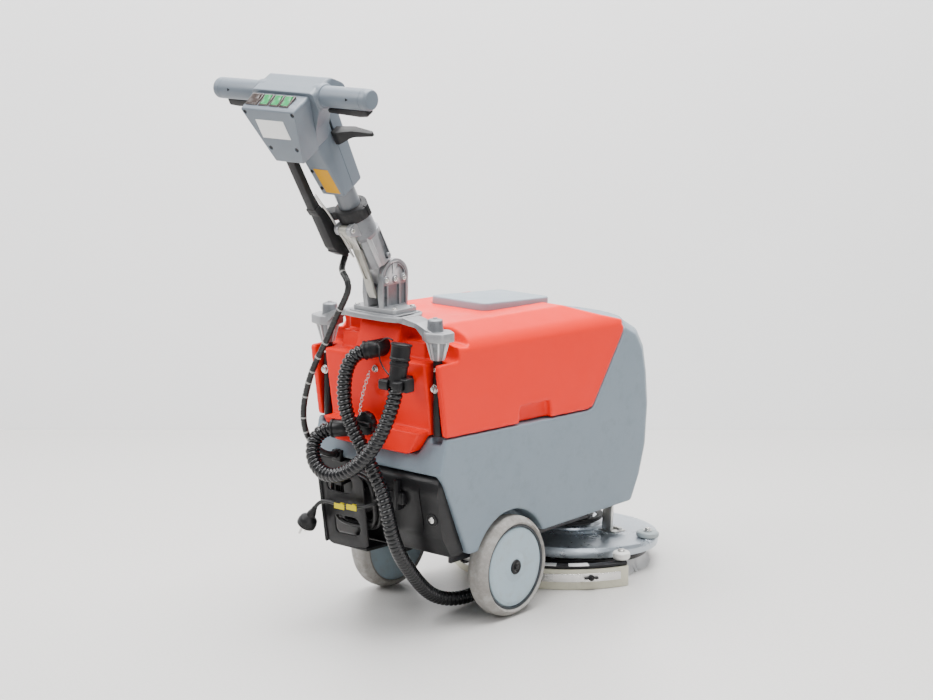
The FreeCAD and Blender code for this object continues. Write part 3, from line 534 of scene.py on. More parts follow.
CAST_WARM = metal("cast_lever", (0.34, 0.33, 0.29), rough=0.42, grain=420, grain_depth=0.0004,
                  dirt=(0.2, 0.19, 0.16),
                  edge=(0.78, 0.77, 0.73), metallic=0.5)
STRIP = metal("bare_strip", (0.72, 0.71, 0.68), rough=0.35, grain=300)
TUBE = plastic("tube_paint", (0.125, 0.135, 0.15), rough=0.32, vary=0.06, coat=0.2)
DECK_GREY = metal("deck_paint", (0.44, 0.49, 0.54), rough=0.28, vary=0.05, grain=700, grain_depth=0.0001,
                  metallic=0.75)
MOTOR_DARK = metal("motor_dark", (0.10, 0.10, 0.105), rough=0.45, metallic=0.6, dirt=(0.05, 0.05, 0.05))
FRAME_PAINT = plastic("frame_paint", (0.03, 0.03, 0.032), rough=0.5, vary=0.2)
ROLLER_GREY = plastic("roller_grey", (0.30, 0.34, 0.35), rough=0.5, vary=0.1)
ROLLER_WHITE = plastic("roller_white", (0.72, 0.72, 0.69), rough=0.45, vary=0.05, dust=(0.35, 0.33, 0.3),
                       dust_amount=0.4)
RUBBER = plastic("blade_rubber", (0.55, 0.53, 0.42), rough=0.55, vary=0.06, dust=(0.30, 0.28, 0.22),
                 dust_amount=0.5)
LIGHT_PLATE = plastic("light_plate", (0.70, 0.70, 0.69), rough=0.4)
BRISTLE = plastic("bristle_white", (0.80, 0.80, 0.80), rough=0.5, vary=0.05, grain=500)
SWITCH_BLACK = plastic("switch_black", (0.035, 0.022, 0.018), rough=0.18, vary=0.2, coat=0.5)
SWITCH_GREEN = plastic("switch_green", (0.0, 0.24, 0.06), rough=0.15, vary=0.25, coat=0.8)
STICKER = plastic("sticker_yellow", (0.62, 0.30, 0.0), rough=0.4, vary=0.03, shine=0.15)
YELLOW = plastic("tag_yellow", (0.62, 0.50, 0.0), rough=0.45, vary=0.1, shine=0.2)
TAG_GREY = plastic("tie_grey", (0.35, 0.35, 0.34), rough=0.4)
WHITE = plastic("label_white", (0.78, 0.78, 0.77), rough=0.35, vary=0.03)
SEAL = plastic("seal_black", (0.02, 0.025, 0.03), rough=0.5, vary=0.2)
HOSE = hose_rubber("hose_black")
CABLE = hose_rubber("lead_black", (0.006, 0.006, 0.006), 0.33)


# ---- camera, light and floor ----------------------------------------------------------------------

def see_through(tree, shader):
    """Clears a surface as seen from its back, so that the backdrop never hides the machine."""
    behind = tree.nodes.new("ShaderNodeNewGeometry").outputs["Backfacing"]
    clear = tree.nodes.new("ShaderNodeBsdfTransparent")
    either = tree.nodes.new("ShaderNodeMixShader")
    output = next(node for node in tree.nodes if node.type == "OUTPUT_MATERIAL")
    tree.links.new(behind, either.inputs[0])
    tree.links.new(shader.outputs[0], either.inputs[1])
    tree.links.new(clear.outputs[0], either.inputs[2])
    tree.links.new(either.outputs[0], output.inputs["Surface"])


def stage():
    turn, pitch = math.radians(39.99), math.radians(90 - 11.534)
    camera = bpy.data.objects.new("camera", bpy.data.cameras.new("camera"))
    bpy.context.scene.collection.objects.link(camera)
    camera.data.sensor_width = 36.0
    camera.data.lens = 93.68
    camera.data.clip_end = 60
    camera.location = MACHINE @ Vector((3030.1, -3552.1, 1461.6))
    camera.rotation_euler = (pitch, 0, turn)
    bpy.context.scene.camera = camera

    floor = mesh_piece("floor", [(-30, -30, 0), (30, -30, 0), (30, 30, 0), (-30, 30, 0)], [(0, 1, 2, 3)])
    material, tree, shader = nodes_of("floor_vinyl")
    speck = noise_node(tree, 160.0, 6.0, 0.8)
    wide = noise_node(tree, 0.9, 3.0)
    base = ramp_node(tree, speck.outputs["Fac"], (0.35, (0.50, 0.485, 0.465)),
                     (0.65, (0.63, 0.615, 0.595))).outputs["Color"]
    base = mix_node(tree, wide.outputs["Fac"], base, (0.60, 0.59, 0.575))
    tree.links.new(base, shader.inputs["Base Color"])
    tree.links.new(ramp_node(tree, wide.outputs["Fac"], (0.3, 0.28), (0.7, 0.42)).outputs["Color"],
                   shader.inputs["Roughness"])
    tree.links.new(bump_node(tree, speck.outputs["Fac"], 0.15, 0.0003), shader.inputs["Normal"])
    floor.data.materials.append(material)

    away = Vector((-math.sin(turn), math.cos(turn), 0))
    across = Vector((away.y, -away.x, 0))
    foot, half_width, height = away * 1.42, across * 20, Vector((0, 0, 12))
    corners = [foot - half_width, foot + half_width, foot + half_width + height,
               foot - half_width + height]
    wall = mesh_piece("backdrop", corners, [(0, 1, 2, 3)])
    material, tree, shader = nodes_of("backdrop_white")
    paint = noise_node(tree, 3.0, 3.0)
    tree.links.new(mix_node(tree, paint.outputs["Fac"], (0.86, 0.86, 0.86), (0.90, 0.90, 0.90)),
                   shader.inputs["Base Color"])
    shader.inputs["Roughness"].default_value = 0.9
    see_through(tree, shader)
    wall.data.materials.append(material)

    world = bpy.data.worlds.new("studio")
    world.use_nodes = True
    world.node_tree.nodes["Background"].inputs["Color"].default_value = (0.93, 0.96, 1.0, 1)
    world.node_tree.nodes["Background"].inputs["Strength"].default_value = 0.42
    bpy.context.scene.world = world
    for name, place, size, power in (("key", (-1.8, -3.0, 3.2), 2.4, 160),
                                     ("fill", (3.4, -1.4, 1.9), 2.2, 52),
                                     ("top", (0.1, 0.3, 3.4), 3.0, 380)):
        lamp = bpy.data.objects.new(name, bpy.data.lights.new(name, "AREA"))
        lamp.data.size = size
        lamp.data.energy = power
        lamp.location = place
        lamp.rotation_euler = (Vector((0, 0, 0.4)) - Vector(place)).to_track_quat("-Z", "Y").to_euler()
        bpy.context.scene.collection.objects.link(lamp)


stage()


# ---- the two moulded tanks ------------------------------------------------------------------------

FRONT_PROFILE = ((150, 492), (200, 519), (260, 538), (345, 545), (410, 538), (465, 527), (500, 505),
                 (527, 455), (610, 440))
HALF, FRONT_RADIUS = 165, 184
GREY_SIDE = [(-129, 151, 12), (495, 151, 0), (600, 250, 0), (600, 500, 0), (455, 528, 12), (373, 534, 4),
             (362, 509, 12), (262, 371, 6), (244, 368, 4), (-193, 388, 4), (-210, 322, 4)]
RED_SIDE = [(-194, 391, 6), (243, 371, 4), (260, 374, 6), (359, 511, 12), (367, 536, 4), (296, 556, 0),
            (190, 590, 0), (-190, 604, 24), (-214, 527, 20)]
TOP_SLOPE = Matrix.Rotation(math.radians(-2.5), 4, "X")
LID_PLACE = at(0, 35, 587.5, Matrix.Rotation(math.radians(-4.4), 4, "X"))


def body_form(name):
    """Straight sides and a front that is round in plan, bulging outwards at half height."""
    half, radius = HALF, FRONT_RADIUS
    swing = math.asin(half / radius)
    rings = []
    for height, front in FRONT_PROFILE:
        ring = [(half, -260, height)]
        for k in range(33):
            a = swing - 2 * swing * k / 32
            ring.append((radius * math.sin(a), front - radius + radius * math.cos(a), height))
        ring.append((-half, -260, height))
        rings.append(ring)
    count = len(rings[0])
    verts = [p for ring in rings for p in ring]
    faces = [tuple(range(count)), tuple(range(len(verts) - count, len(verts)))]
    for r in range(len(rings) - 1):
        for i in range(count):
            j = (i + 1) % count
            faces.append((r * count + i, r * count + j, (r + 1) * count + j, (r + 1) * count + i))
    return tidy(mesh_piece(name, verts, faces))


def shoulders(name):
    """The top that both tanks share: flat in the middle, with a crest and a wide round shoulder each side."""
    corners = [(-166, 100, 0), (166, 100, 0), (166, 556, 45), (122, 591.5, 3), (-122, 591.5, 3),
               (-166, 556, 45)]
    return placed(prism(name, "XZ", corners, -650, 650, 10), TOP_SLOPE)


def red_tank():
    shell = common(prism("red_shell", "YZ", RED_SIDE, -200, 200), body_form("red_form"),
                   shoulders("red_top"))
    tongue = prism("tongue", "XZ", [(-124, 400, 0), (-96, 356, 14), (96, 356, 14), (124, 400, 0)], -224,
                   -188)
    union(shell, tongue)
    tools = []
    for side in (-1, 1):
        tools.append(prism("post_groove", "XY", [(side * 127, -230, 0), (side * 152, -230, 0),
                                                 (side * 152, -177, 5),
                                                 (side * 127, -177, 5)], 380, 560))
        scoop = [(side * 106, -240, 0), (side * 180, -240, 0), (side * 180, -166, 10),
                 (side * 160, -156, 14),
                 (side * 106, -156, 10)]
        tools.append(prism("scoop", "XY", scoop, 533, 640))
        tools.append(rod("scoop_flare", 36, (side * 160, -160, 560), (side * 176, -148, 650), 40, 8))
        tools.append(prism("side_recess", "XZ", [(side * 52, 533, 8), (side * 134, 531, 8),
                                                 (side * 134, 640, 0),
                                                 (side * 52, 640, 0)], -240, -186))
        tools.append(block("arm_room", (min(side * 50, side * 135), -190, 566),
                           (max(side * 50, side * 135), -163, 640)))
        tools.append(prism("grip_notch", "YZ", [(20, 350, 0), (128, 350, 0), (120, 411, 5), (27, 415, 5)],
                           min(side * 152, side * 175), max(side * 152, side * 175)))
    tools.append(rod("round_recess", 13, (10, -230, 465), (10, -202, 465), 32, 2))
    recess = [(-72, -6, 15), (72, -6, 15), (68, 228, 5), (-68, 228, 5)]
    tools.append(placed(prism("lid_recess", "XY", recess, -1.2, 40), LID_PLACE))
    cut(shell, *tools)
    moulded(shell, 2.6, 6, 0.5)
    placed(shell, MACHINE)
    shell.name = "tank_red_moulding"
    return ready(shell, "root", "tank_red", RED, "recovery_tank", angle=60)


def grey_tank():
    shell = common(prism("grey_shell", "YZ", GREY_SIDE, -200, 200), body_form("grey_form"),
                   shoulders("grey_top"))
    tools = []
    for side in (-1, 1):
        tools.append(rod("arch", 113, (side * 119, 0, 100), (side * 180, 0, 100), 96, 0.1))
        tools.append(block("arch_open", (min(side * 119, side * 180), -113, 40),
                           (max(side * 119, side * 180), 113, 100)))
        tools.append(block("post_foot", (min(side * 127, side * 153), -230, 376),
                           (max(side * 127, side * 153), -177, 400)))
    tools.append(prism("tongue_seat", "XZ", [(-129, 404, 0), (-99, 352, 14), (99, 352, 14),
                                             (129, 404, 0)], -240, -186))
    tools.append(prism("rear_bay", "YZ", [(-190, 130, 0), (-119, 130, 0), (-182, 317, 0), (-270, 317, 0)],
                       -151, 151))
    cut(shell, *tools)
    moulded(shell, 2.6, 6, 0.5)
    placed(shell, MACHINE)
    shell.name = "tank_grey_moulding"
    return ready(shell, "root", "tank_grey", GREY, "lower_tank", angle=60)


def lid():
    plate = prism("lid_plate", "XY", [(-71, -5, 14), (71, -5, 14), (65, 211, 14), (-65, 211, 14)], 0, 18, 8)
    bevel(plate, 3.2, 4)
    placed(plate, LID_PLACE)
    knuckle = rod("lid_knuckle", 7, (-20, 249, 577.5), (20, 249, 577.5))
    arm = bevel(block("lid_arm", (-20, 234, 574), (20, 249, 581)), 1)
    whole = placed(joined("tank_lid_plate", plate, knuckle, arm), MACHINE)
    ready(whole, "lid", "tank_grey", LID, "tank_lid")
    pin = rod("lid_pin", 3, (-27, 249, 577.5), (27, 249, 577.5))
    ears = both_sides("ears", bevel(block("ear", (21, 244, 570), (27, 254, 582)), 1.5))
    fixed = placed(joined("lid_hinge_fixed", pin, ears), MACHINE)
    ready(fixed, "root", "steel", STEEL, "lid_hinge_pin")


red_tank()
grey_tank()
lid()


# ---- wheels ---------------------------------------------------------------------------------------

def wheels():
    for side, sign in (("right", 1), ("left", -1)):
        place = at(sign * 154, 0, 100, TURN_X if sign > 0 else TURN_X @ Matrix.Rotation(math.pi, 4, "X"))
        body = side + "_wheel"
        tyre = lathe(side + "_tyre_mesh", [(84, -25, 3), (89, -25, 0), (100, -13, 16), (100, 13, 16),
                                           (89, 25, 0),
                                           (86.5, 24, 1), (84, 20, 1)], 128, place)
        placed(tyre, MACHINE)
        ready(tyre, body, "tyre", TYRE, side + "_tyre")
        disc = lathe(side + "_rim_mesh", [(10.05, -22, 0), (83.9, -22, 2), (83.9, 17, 1), (79, 17, 1),
                                          (77.5, 20.5, 2),
                                          (70, 22.5, 6), (30, 20, 8), (20, 22, 4), (10.05, 22, 0)], 128,
                                          place)
        placed(disc, MACHINE)
        ready(disc, body, "wheel_grey", RIM, side + "_rim")
        seal = lathe(side + "_rim_seal", [(79.3, 16.5, 0), (84.2, 16.5, 0), (84.2, 22.4, 1),
                                          (79.3, 20.2, 1)], 128, place)
        placed(seal, MACHINE)
        ready(seal, body, "wheel_grey", SEAL)
    bar = rod("axle_bar", 10, (-178, 0, 100), (178, 0, 100))
    hubs = []
    for sign in (1, -1):
        turn = TURN_X if sign > 0 else TURN_X @ Matrix.Rotation(math.pi, 4, "X")
        place = at(sign * 154, 0, 100, turn)
        cap = lathe("hub_cap", [(0, 20.5, 0), (12, 20.5, 0), (15.5, 21.5, 1), (14, 24.5, 2), (8, 25.6, 2),
                                (8, 24.6, 0.5),
                                (0, 24.6, 0)], 48, place)
        socket = lathe("hub_bolt", [(0, 24, 0), (5.2, 24, 0), (5.2, 27, 1), (0, 27, 0)], 6, place)
        hubs += [cap, socket]
    placed(bar, MACHINE)
    ready(bar, "root", "steel", STEEL, "wheel_axle")
    caps = placed(joined("hub_caps", *hubs), MACHINE)
    ready(caps, "root", "steel", BLACK)


wheels()


# ---- hoses, control cable and mains lead ------------------------------------------------------------

SUCTION_ROUTE = ((11, -233, 548), (-8, -246, 543.5), (-24, -256, 524), (-31, -261, 495), (-33, -262, 460),
                 (-28, -262, 428), (-12, -262, 398), (9, -262, 370), (28, -262, 342), (50, -262, 308),
                 (68, -262, 275), (76, -260, 236), (74, -246, 196), (66, -216, 150), (54, -172, 106),
                 (42, -128, 66), (36, -88, 36), (42, -52, 20), (54, -16, 17), (54, 22, 17), (47, 46, 19),
                 (35, 66, 24), (20, 80, 31), (7, 92, 36.5), (0, 107, 40), (0, 123.2, 40))
DRAIN_ROUTE = ((104, -262, 512), (103, -266, 484), (99, -274, 455), (92, -283, 424), (79, -290, 393),
               (58, -295, 363), (30, -298, 336), (-3, -299, 316), (-40, -298, 306), (-74, -293, 314),
               (-97, -284, 336), (-102, -272, 364), (-84, -259, 386), (-60, -250, 388))
CONTROL_ROUTE = ((-38, -246.6, 726.8), (-37, -256, 712), (-22, -277, 701), (-1, -285, 688), (6, -287, 672),
                 (-6, -285, 649), (-26, -283, 621), (-44, -280, 592), (-58, -281, 564), (-78, -281, 533),
                 (-97, -281, 500), (-112, -280, 464), (-124, -278, 426), (-129, -273, 388),
                 (-124, -262, 354),
                 (-110, -246, 333), (-98, -230, 325), (-98, -216, 325))
LEAD_ROUTE = ((24, -229.3, 260.5), (34, -233.3, 259.9), (37, -243.9, 256.4), (28, -254.2, 250.9),
              (7, -260.4, 245),
              (-20, -264.1, 242.5), (-44, -266, 241.7), (-74, -268, 246), (-95, -272, 240),
              (-102, -273, 228))


def corrugated(outer, depth, pitch):
    """A helical corrugation: round ridges with a narrow groove between them."""
    def reach(along, angle):
        phase = (along / pitch - angle / TAU) % 1.0
        ridge = abs(math.cos(math.pi * phase)) ** 0.55
        return outer - depth * (1 - ridge)
    return reach


def hose(name, node, route, diameter, depth, pitch, material, slot, **facts):
    line = spline_line(route)
    points = spaced(line, pitch / 14)
    tube = swept(name, points, corrugated(diameter / 2, depth, pitch), 22)
    ready(tube, None, slot, material, node, angle=70)
    path = spaced(line, 0.004)
    return tube, line


def hoses():
    suction, line = hose("suction_hose_mesh", "suction_hose", SUCTION_ROUTE, 0.029, 0.0036, 0.0098, HOSE,
                         "hose_black",
                         far_end="object", lay="hanging")
    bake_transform(suction)
    drain, line = hose("drain_hose_mesh", "drain_hose", DRAIN_ROUTE, 0.029, 0.0036, 0.0098, HOSE,
                       "hose_black",
                       far_end="object", lay="hanging")
    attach(drain, "root")
    line = spline_line(CONTROL_ROUTE)
    points = spaced(line, 0.0016)

    def spiral_wrap(along, angle):
        phase = (along / 0.012 - angle / TAU) % 1.0
        return 0.006 - (0.0008 if phase > 0.86 else 0)
    cable = swept("control_cable_mesh", points, spiral_wrap, 18)
    ready(cable, None, "hose_black", CABLE, "control_cable", angle=50)
    path = spaced(line, 0.004)
    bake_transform(cable)
    bands = []
    for share in (0.10, 0.27, 0.43, 0.50, 0.57, 0.62, 0.68, 0.77, 0.83):
        i = int(share * (len(points) - 1))
        bands.append(swept("cable_tie", points[i:i + 3], 0.0064, 18))
    ties = joined("cable_ties", *bands)
    ready(ties, None, "hose_black", TAG_GREY)
    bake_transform(ties)


def winding():
    """Five turns of the mains lead round the holder's arms."""
    centre = Vector((-73.5, 0, 245))
    points = []
    lay = ((46, -219), (54, -219), (58, -228), (50, -229), (53, -238))
    steps = 48
    for turn, (reach, depth) in enumerate(lay):
        following = lay[min(turn + 1, len(lay) - 1)]
        for k in range(steps):
            t = k / steps
            blend_in = ease(t, 0.7, 1.0)
            size = reach + (following[0] - reach) * blend_in
            y = depth + (following[1] - depth) * blend_in
            a = -t * TAU
            c, s = math.cos(a), math.sin(a)
            stretch = (abs(c) ** 4 + abs(s) ** 4) ** -0.25
            points.append(centre + Vector((size * stretch * c, y, size * stretch * s)))
    return [HOLDER_LEAN @ point for point in points]


def mains_lead():
    turns = [MACHINE @ p for p in winding()]
    tail = spline_line(LEAD_ROUTE)
    line = spaced(turns + tail, 0.003)
    smooth = line
    for _ in range(6):
        smooth = [smooth[0]] + [(a + b * 2 + c) / 4 for a, b,
                                c in zip(smooth, smooth[1:], smooth[2:])] + [smooth[-1]]
    lead = swept("mains_lead_mesh", smooth, 0.0038, 14)
    ready(lead, "root", "lead_black", CABLE, "mains_lead", "mains_coil", angle=50)
    tip = Vector(LEAD_ROUTE[-1])
    direction = (tip - Vector(LEAD_ROUTE[-2])).normalized()
    place = Matrix.Translation(tip) @ direction.to_track_quat("Z", "Y").to_matrix().to_4x4()
    relief = lathe("plug_relief", [(0, -2, 0), (4.6, -2, 0.5), (5.4, 4, 1), (5.4, 6, 0), (6.4, 6.5, 0.5),
                                   (6.2, 9, 0.5),
                                   (7.4, 9.5, 0.5), (7.4, 12, 0.5), (8.4, 12.5, 0.5), (9.5, 22, 2),
                                   (0, 22, 0)], 32, place)
    body = lathe("plug_body", [(0, 20, 0), (9.5, 20, 2), (17, 27, 5), (18.5, 33, 3), (18.5, 44, 1),
                               (0, 44, 0)], 48, place)
    ribs = [lathe("plug_grip", [(18.2, 34 + 3 * i, 0), (19, 34 + 3 * i, 0.4), (19, 35.6 + 3 * i, 0.4),
                                (18.2, 35.6 + 3 * i, 0)], 48, place) for i in range(3)]
    plug = placed(joined("mains_plug_mesh", relief, body, *ribs), MACHINE)
    ready(plug, "root", "lead_black", BLACK, "mains_plug")
    pins = joined("plug_pins_mesh", *[placed(rod("plug_pin", 2.4, (x, 0, 43), (x, 0, 62), 16, 1.4), place)
                                      for x in (-9.5, 9.5)])
    placed(pins, MACHINE)
    ready(pins, "root", "steel", STEEL)
    tags = []
    for x, y, z in ((-37, -265.5, 241.8), (-8, -262.7, 243.7)):
        tag = bevel(block("tag", (x - 13, y - 9, z - 5), (x + 13, y - 7.8, z + 5.5)), 0.5)
        tags += [tag, rod("tag_loop", 5.4, (x - 4, y, z), (x + 4, y, z), 24, 0.8),
                 block("tag_stem", (x - 3, y - 8, z - 2), (x + 3, y - 4, z + 2))]
    ready(placed(joined("lead_tags", *tags), MACHINE), "root", "lead_black", YELLOW)


hoses()
mains_lead()


# ---- fittings on the rear of the tanks --------------------------------------------------------------

def fittings():
    start = Vector(SUCTION_ROUTE[0])
    out = (start - Vector(SUCTION_ROUTE[1])).normalized()
    inward = Vector((0, 1, 0))
    bend = [start - out * 13, start, start + out * 4, start + out * 8 + inward * 2,
            start + out * 10 + inward * 7,
            start + out * 10.5 + inward * 13, start + out * 10.5 + inward * 32]
    elbow = swept("elbow_tube", bend, 17, 32)
    rings = [swept("elbow_ring", [bend[0], bend[0] + out * 4], 18.4, 32),
             swept("elbow_ring", [bend[0] + out * 10, bend[0] + out * 13], 18, 32)]
    whole = placed(joined("suction_elbow_mesh", elbow, *rings), MACHINE)
    ready(bevel(whole, 0.0006, 2), "root", "black_plastic", BLACK, "suction_elbow", angle=45)

    tip = Vector(DRAIN_ROUTE[0])
    up = (tip - Vector(DRAIN_ROUTE[1])).normalized()
    turn = up.to_track_quat("Z", "Y").to_matrix().to_4x4()
    cuff = lathe("cuff", [(13.8, -18, 0), (17, -18, 2), (17, 22, 1), (18.6, 22, 1), (18.6, 27, 1),
                          (17, 28, 0), (17, 31, 1),
                          (13.8, 31, 0)], 48, Matrix.Translation(tip) @ turn)
    clip = cut(bevel(block("clip_body", (72, -284, 488), (126, -239, 508)), 5, 4),
               rod("clip_bore", 17.2, (103.4, -263.8, 470),
                                                                                     (104, -262, 520), 48,
                                                                                             0.1))
    cut(clip, block("clip_mouth", (96, -300, 480), (110, -276, 520)))
    jaw = cut(bevel(block("clip_jaw", (112, -272, 486), (134, -248, 512)), 3, 3),
              block("jaw_slot", (118, -280, 492),
                                                                                     (129, -240, 506)))
    arm = bevel(block("clip_arm", (78, -242, 490), (98, -211, 506)), 2)
    holder = placed(joined("hose_clip_mesh", cuff, clip, jaw, arm), MACHINE)
    ready(holder, "root", "black_plastic", BLACK, "hose_clip")
    cap_place = Matrix.Translation(tip + up * 31.4) @ turn
    cap = lathe("drain_cap_shell", [(0, 0.6, 0), (19.5, 0.6, 1), (20, 4, 1), (18.6, 6, 1), (18.6, 27, 2),
                                    (20.5, 28.5, 1),
                                    (20.5, 31.5, 1.5), (0, 33.5, 0)], 64, cap_place)
    lip = placed(bevel(prism("cap_lip", "XY", [(14, -7, 3), (27, -5, 4), (27, 5, 4), (14, 7, 3)], 28,
                             31.5), 0.8), cap_place)
    ready(placed(joined("drain_cap_mesh", cap, lip), MACHINE), "drain_cap", "black_plastic", BLACK,
          "drain_cap")

    strap = [Vector((30, -238, 563)), Vector((45, -241, 569)), Vector((60, -248, 578)),
             Vector((76, -256, 582)),
             Vector((90, -260, 580))]
    band = swept("cap_strap", spaced(smoothed(strap, 3), 2), 1.5, 10)
    loop = [Vector((30, -240, 566)), Vector((42, -244, 560)), Vector((47, -248, 551)),
            Vector((49, -252, 538)),
            Vector((58, -252, 523)), Vector((76, -256, 512))]
    hang = swept("cap_tether", spaced(smoothed(loop, 3), 2), 1.6, 10)
    ready(placed(joined("cap_straps", band, hang), MACHINE), "root", "black_plastic", BLACK)

    flange = rod("drain_flange_disc", 18, (-43, -227.2, 388), (-43, -221, 388), 48, 1.5)
    mouth = Vector(DRAIN_ROUTE[-1])
    run = (mouth - Vector(DRAIN_ROUTE[-2])).normalized()
    bend = [mouth - run * 12, mouth, mouth + run * 6, mouth + run * 12 + Vector((0, 2, 0)),
            mouth + run * 17 + Vector((0, 8, 0)),
            mouth + run * 19 + Vector((0, 16, 0)), mouth + run * 19 + Vector((0, 30, 0))]
    pipe = swept("drain_pipe", bend, 16.8, 32)
    ring = swept("drain_ring", [bend[0], bend[0] + run * 5], 18.4, 32)
    ready(bevel(placed(joined("drain_elbow_mesh", flange, pipe, ring), MACHINE), 0.0006, 2), "root",
          "black_plastic", BLACK,
          "drain_elbow", angle=45)

    knob = lathe("knob_body", [(0, -1, 0), (22, -1, 2), (24, 6, 3), (22, 12, 2), (14, 14, 3), (0, 15, 0)],
                 48)
    bars = bevel(block("knob_bar", (-20, -5, 12), (20, 5, 21)), 3, 3)
    scallops = [rod("scallop", 5, (26 * math.cos(a), 26 * math.sin(a), -4),
                    (26 * math.cos(a), 26 * math.sin(a), 16), 24, 0.1)
                for a in [TAU * k / 10 for k in range(10)]]
    cut(knob, *scallops)
    whole = placed(joined("drain_knob_mesh", knob, bars), MACHINE @ at(-6, -223, 402,
            TURN_Y @ Matrix.Rotation(math.pi, 4, "X")))
    ready(whole, "drain_knob", "black_plastic", BLACK, "drain_knob")

    links = []
    a, b = Vector((4, -229, 504)), Vector((-8, -246, 420))
    count = 15
    for i in range(count):
        t = (i + 0.5) / count
        centre = a.lerp(b, t) + Vector((0, -5 * math.sin(math.pi * t), 0))
        link = torus_piece("chain_link", 2.6, 0.62, 1.5)
        turn = Matrix.Rotation(math.pi / 2 * (i % 2) + 0.4, 4, "Z") @ Matrix.Rotation(math.pi / 2, 4, "Y")
        links.append(placed(link, Matrix.Translation(centre) @ turn))
    eye = rod("chain_screw", 5, (4, -214, 507), (4, -218.5, 507), 24, 1)
    washer = rod("chain_washer", 7, (4, -212.5, 507), (4, -214.2, 507), 32, 0.3)
    ready(placed(joined("knob_chain", eye, washer, *links), MACHINE), "root", "steel", STEEL)


def smoothed(points, rounds):
    for _ in range(rounds):
        finer = [points[0]]
        for p, q in zip(points, points[1:]):
            finer += [p.lerp(q, 0.25), p.lerp(q, 0.75)]
        points = finer + [points[-1]]
    return points


def torus_piece(name, radius, wire, stretch):
    """A link: a ring of round wire, drawn out along X."""
    major, minor = 18, 8
    verts, faces = [], []
    for i in range(major):
        a = TAU * i / major
        for k in range(minor):
            b = TAU * k / minor
            reach = radius + wire * math.cos(b)
            verts.append((reach * math.cos(a) * stretch, reach * math.sin(a), wire * math.sin(b)))
    for i in range(major):
        for k in range(minor):
            j, m = (i + 1) % major, (k + 1) % minor
            faces.append((i * minor + k, j * minor + k, j * minor + m, i * minor + m))
    return mesh_piece(name, verts, faces)


def housing():
    side = [(-119, 148, 20), (-183, 316, 4), (-208, 318, 22), (-214, 284, 26), (-196, 196, 60),
            (-164, 148, 18)]
    face = [(-2, 140, 4), (152, 140, 20), (160, 322, 26), (-2, 322, 4)]
    shell = common(prism("housing_side", "YZ", side, -2, 160),
                   prism("housing_face", "XZ", face, -230, -100, 10))
    bevel(shell, 7, 5, 40)
    groove = block("housing_groove", (112, -230, 190), (114, -196, 290))
    cut(shell, groove)
    seat = lathe("dial_seat", [(0, -8, 0), (13, -8, 0), (13, 1.5, 1), (10, 2.2, 0.8), (10, 1.2, 0),
                               (0, 1.2, 0)], 40)
    nose = Matrix.Translation((137, -204, 231)) @ TURN_Y.inverted() @ Matrix.Rotation(math.radians(8), 4,
            "X")
    placed(seat, nose)
    latch = bevel(block("housing_latch", (55, -224, 240), (66, -204, 300)), 3)
    slot = bevel(block("housing_step", (42, -221, 252), (78, -205, 276)), 3)
    whole = placed(joined("rear_housing_mesh", shell, seat, latch, slot), MACHINE)
    ready(whole, "root", "black_plastic", BLACK, "rear_housing")
    dial = lathe("dial_screw", [(0, 1, 0), (6.5, 1, 0), (6.5, 3.2, 1), (0, 3.6, 0)], 32)
    cut(dial, block("dial_slot", (-7, -0.8, 2.4), (7, 0.8, 6)))
    ready(placed(dial, MACHINE @ nose), "root", "steel", STEEL)


def cable_holder():
    side = [(-119, 146, 20), (-183, 316, 2), (-208, 318, 8), (-187, 206, 14), (-168, 146, 16)]
    back = common(prism("holder_back_side", "YZ", side, -148, -3.5),
                  prism("holder_back_face", "XZ", [(-148, 140, 16), (-3.5, 140, 4), (-3.5, 322, 4),
                                                   (-148, 322, 16)], -230, -100))
    bevel(back, 4, 4, 40)
    arms = []
    for x in (-107, -56):
        for z in (273.5, 206.5):
            arms.append(placed(bevel(block("holder_arm", (x, -248, z), (x + 16, -188, z + 10)), 1.5),
                               HOLDER_LEAN))
    plate = prism("holder_plate", "XZ", [(-142, 148, 16), (-34, 156, 12), (-30, 304, 16),
                                         (-142, 306, 26)], -252, -247.5, 8)
    cut(plate, prism("window_top", "XZ", [(-126, 262, 8), (-58, 262, 20), (-58, 294, 8), (-126, 294, 8)],
                     -260, -240, 8),
        prism("window_low", "XZ", [(-116, 176, 8), (-50, 176, 16), (-50, 214, 16), (-116, 214, 10)], -260,
              -240, 8))
    bevel(plate, 1.4, 3)
    rim = prism("holder_rim", "XZ", [(-146, 152, 4), (-139, 152, 4), (-139, 298, 4), (-146, 298, 4)],
                -254, -243)
    bevel(rim, 1.5)
    placed(plate, HOLDER_LEAN)
    placed(rim, HOLDER_LEAN)
    foot = prism("holder_foot", "YZ", [(-231, 148, 3), (-231, 155, 2), (-170, 152, 2), (-168, 146, 2)],
                 -96, -6)
    bevel(foot, 1)
    gland = rod("gland_nut", 10, (-98, -209, 325), (-98, -216, 325), 6, 0.8)
    collar = rod("gland_collar", 8, (-98, -214, 325), (-98, -222, 325), 32, 0.8)
    seat = bevel(block("gland_seat", (-110, -216, 309), (-86, -203, 332)), 2)
    whole = placed(joined("cable_holder_mesh", back, plate, rim, foot, gland, collar, seat, *arms), MACHINE)
    ready(whole, "root", "black_plastic", BLACK, "cable_holder")


fittings()
housing()
cable_holder()


# ---- bridge, posts and fork ---------------------------------------------------------------------------

def cast(piece, width=1.2, angle=35):
    """The soft corners of a sand-cast part."""
    bevel(piece, width, 2, angle)
    return piece


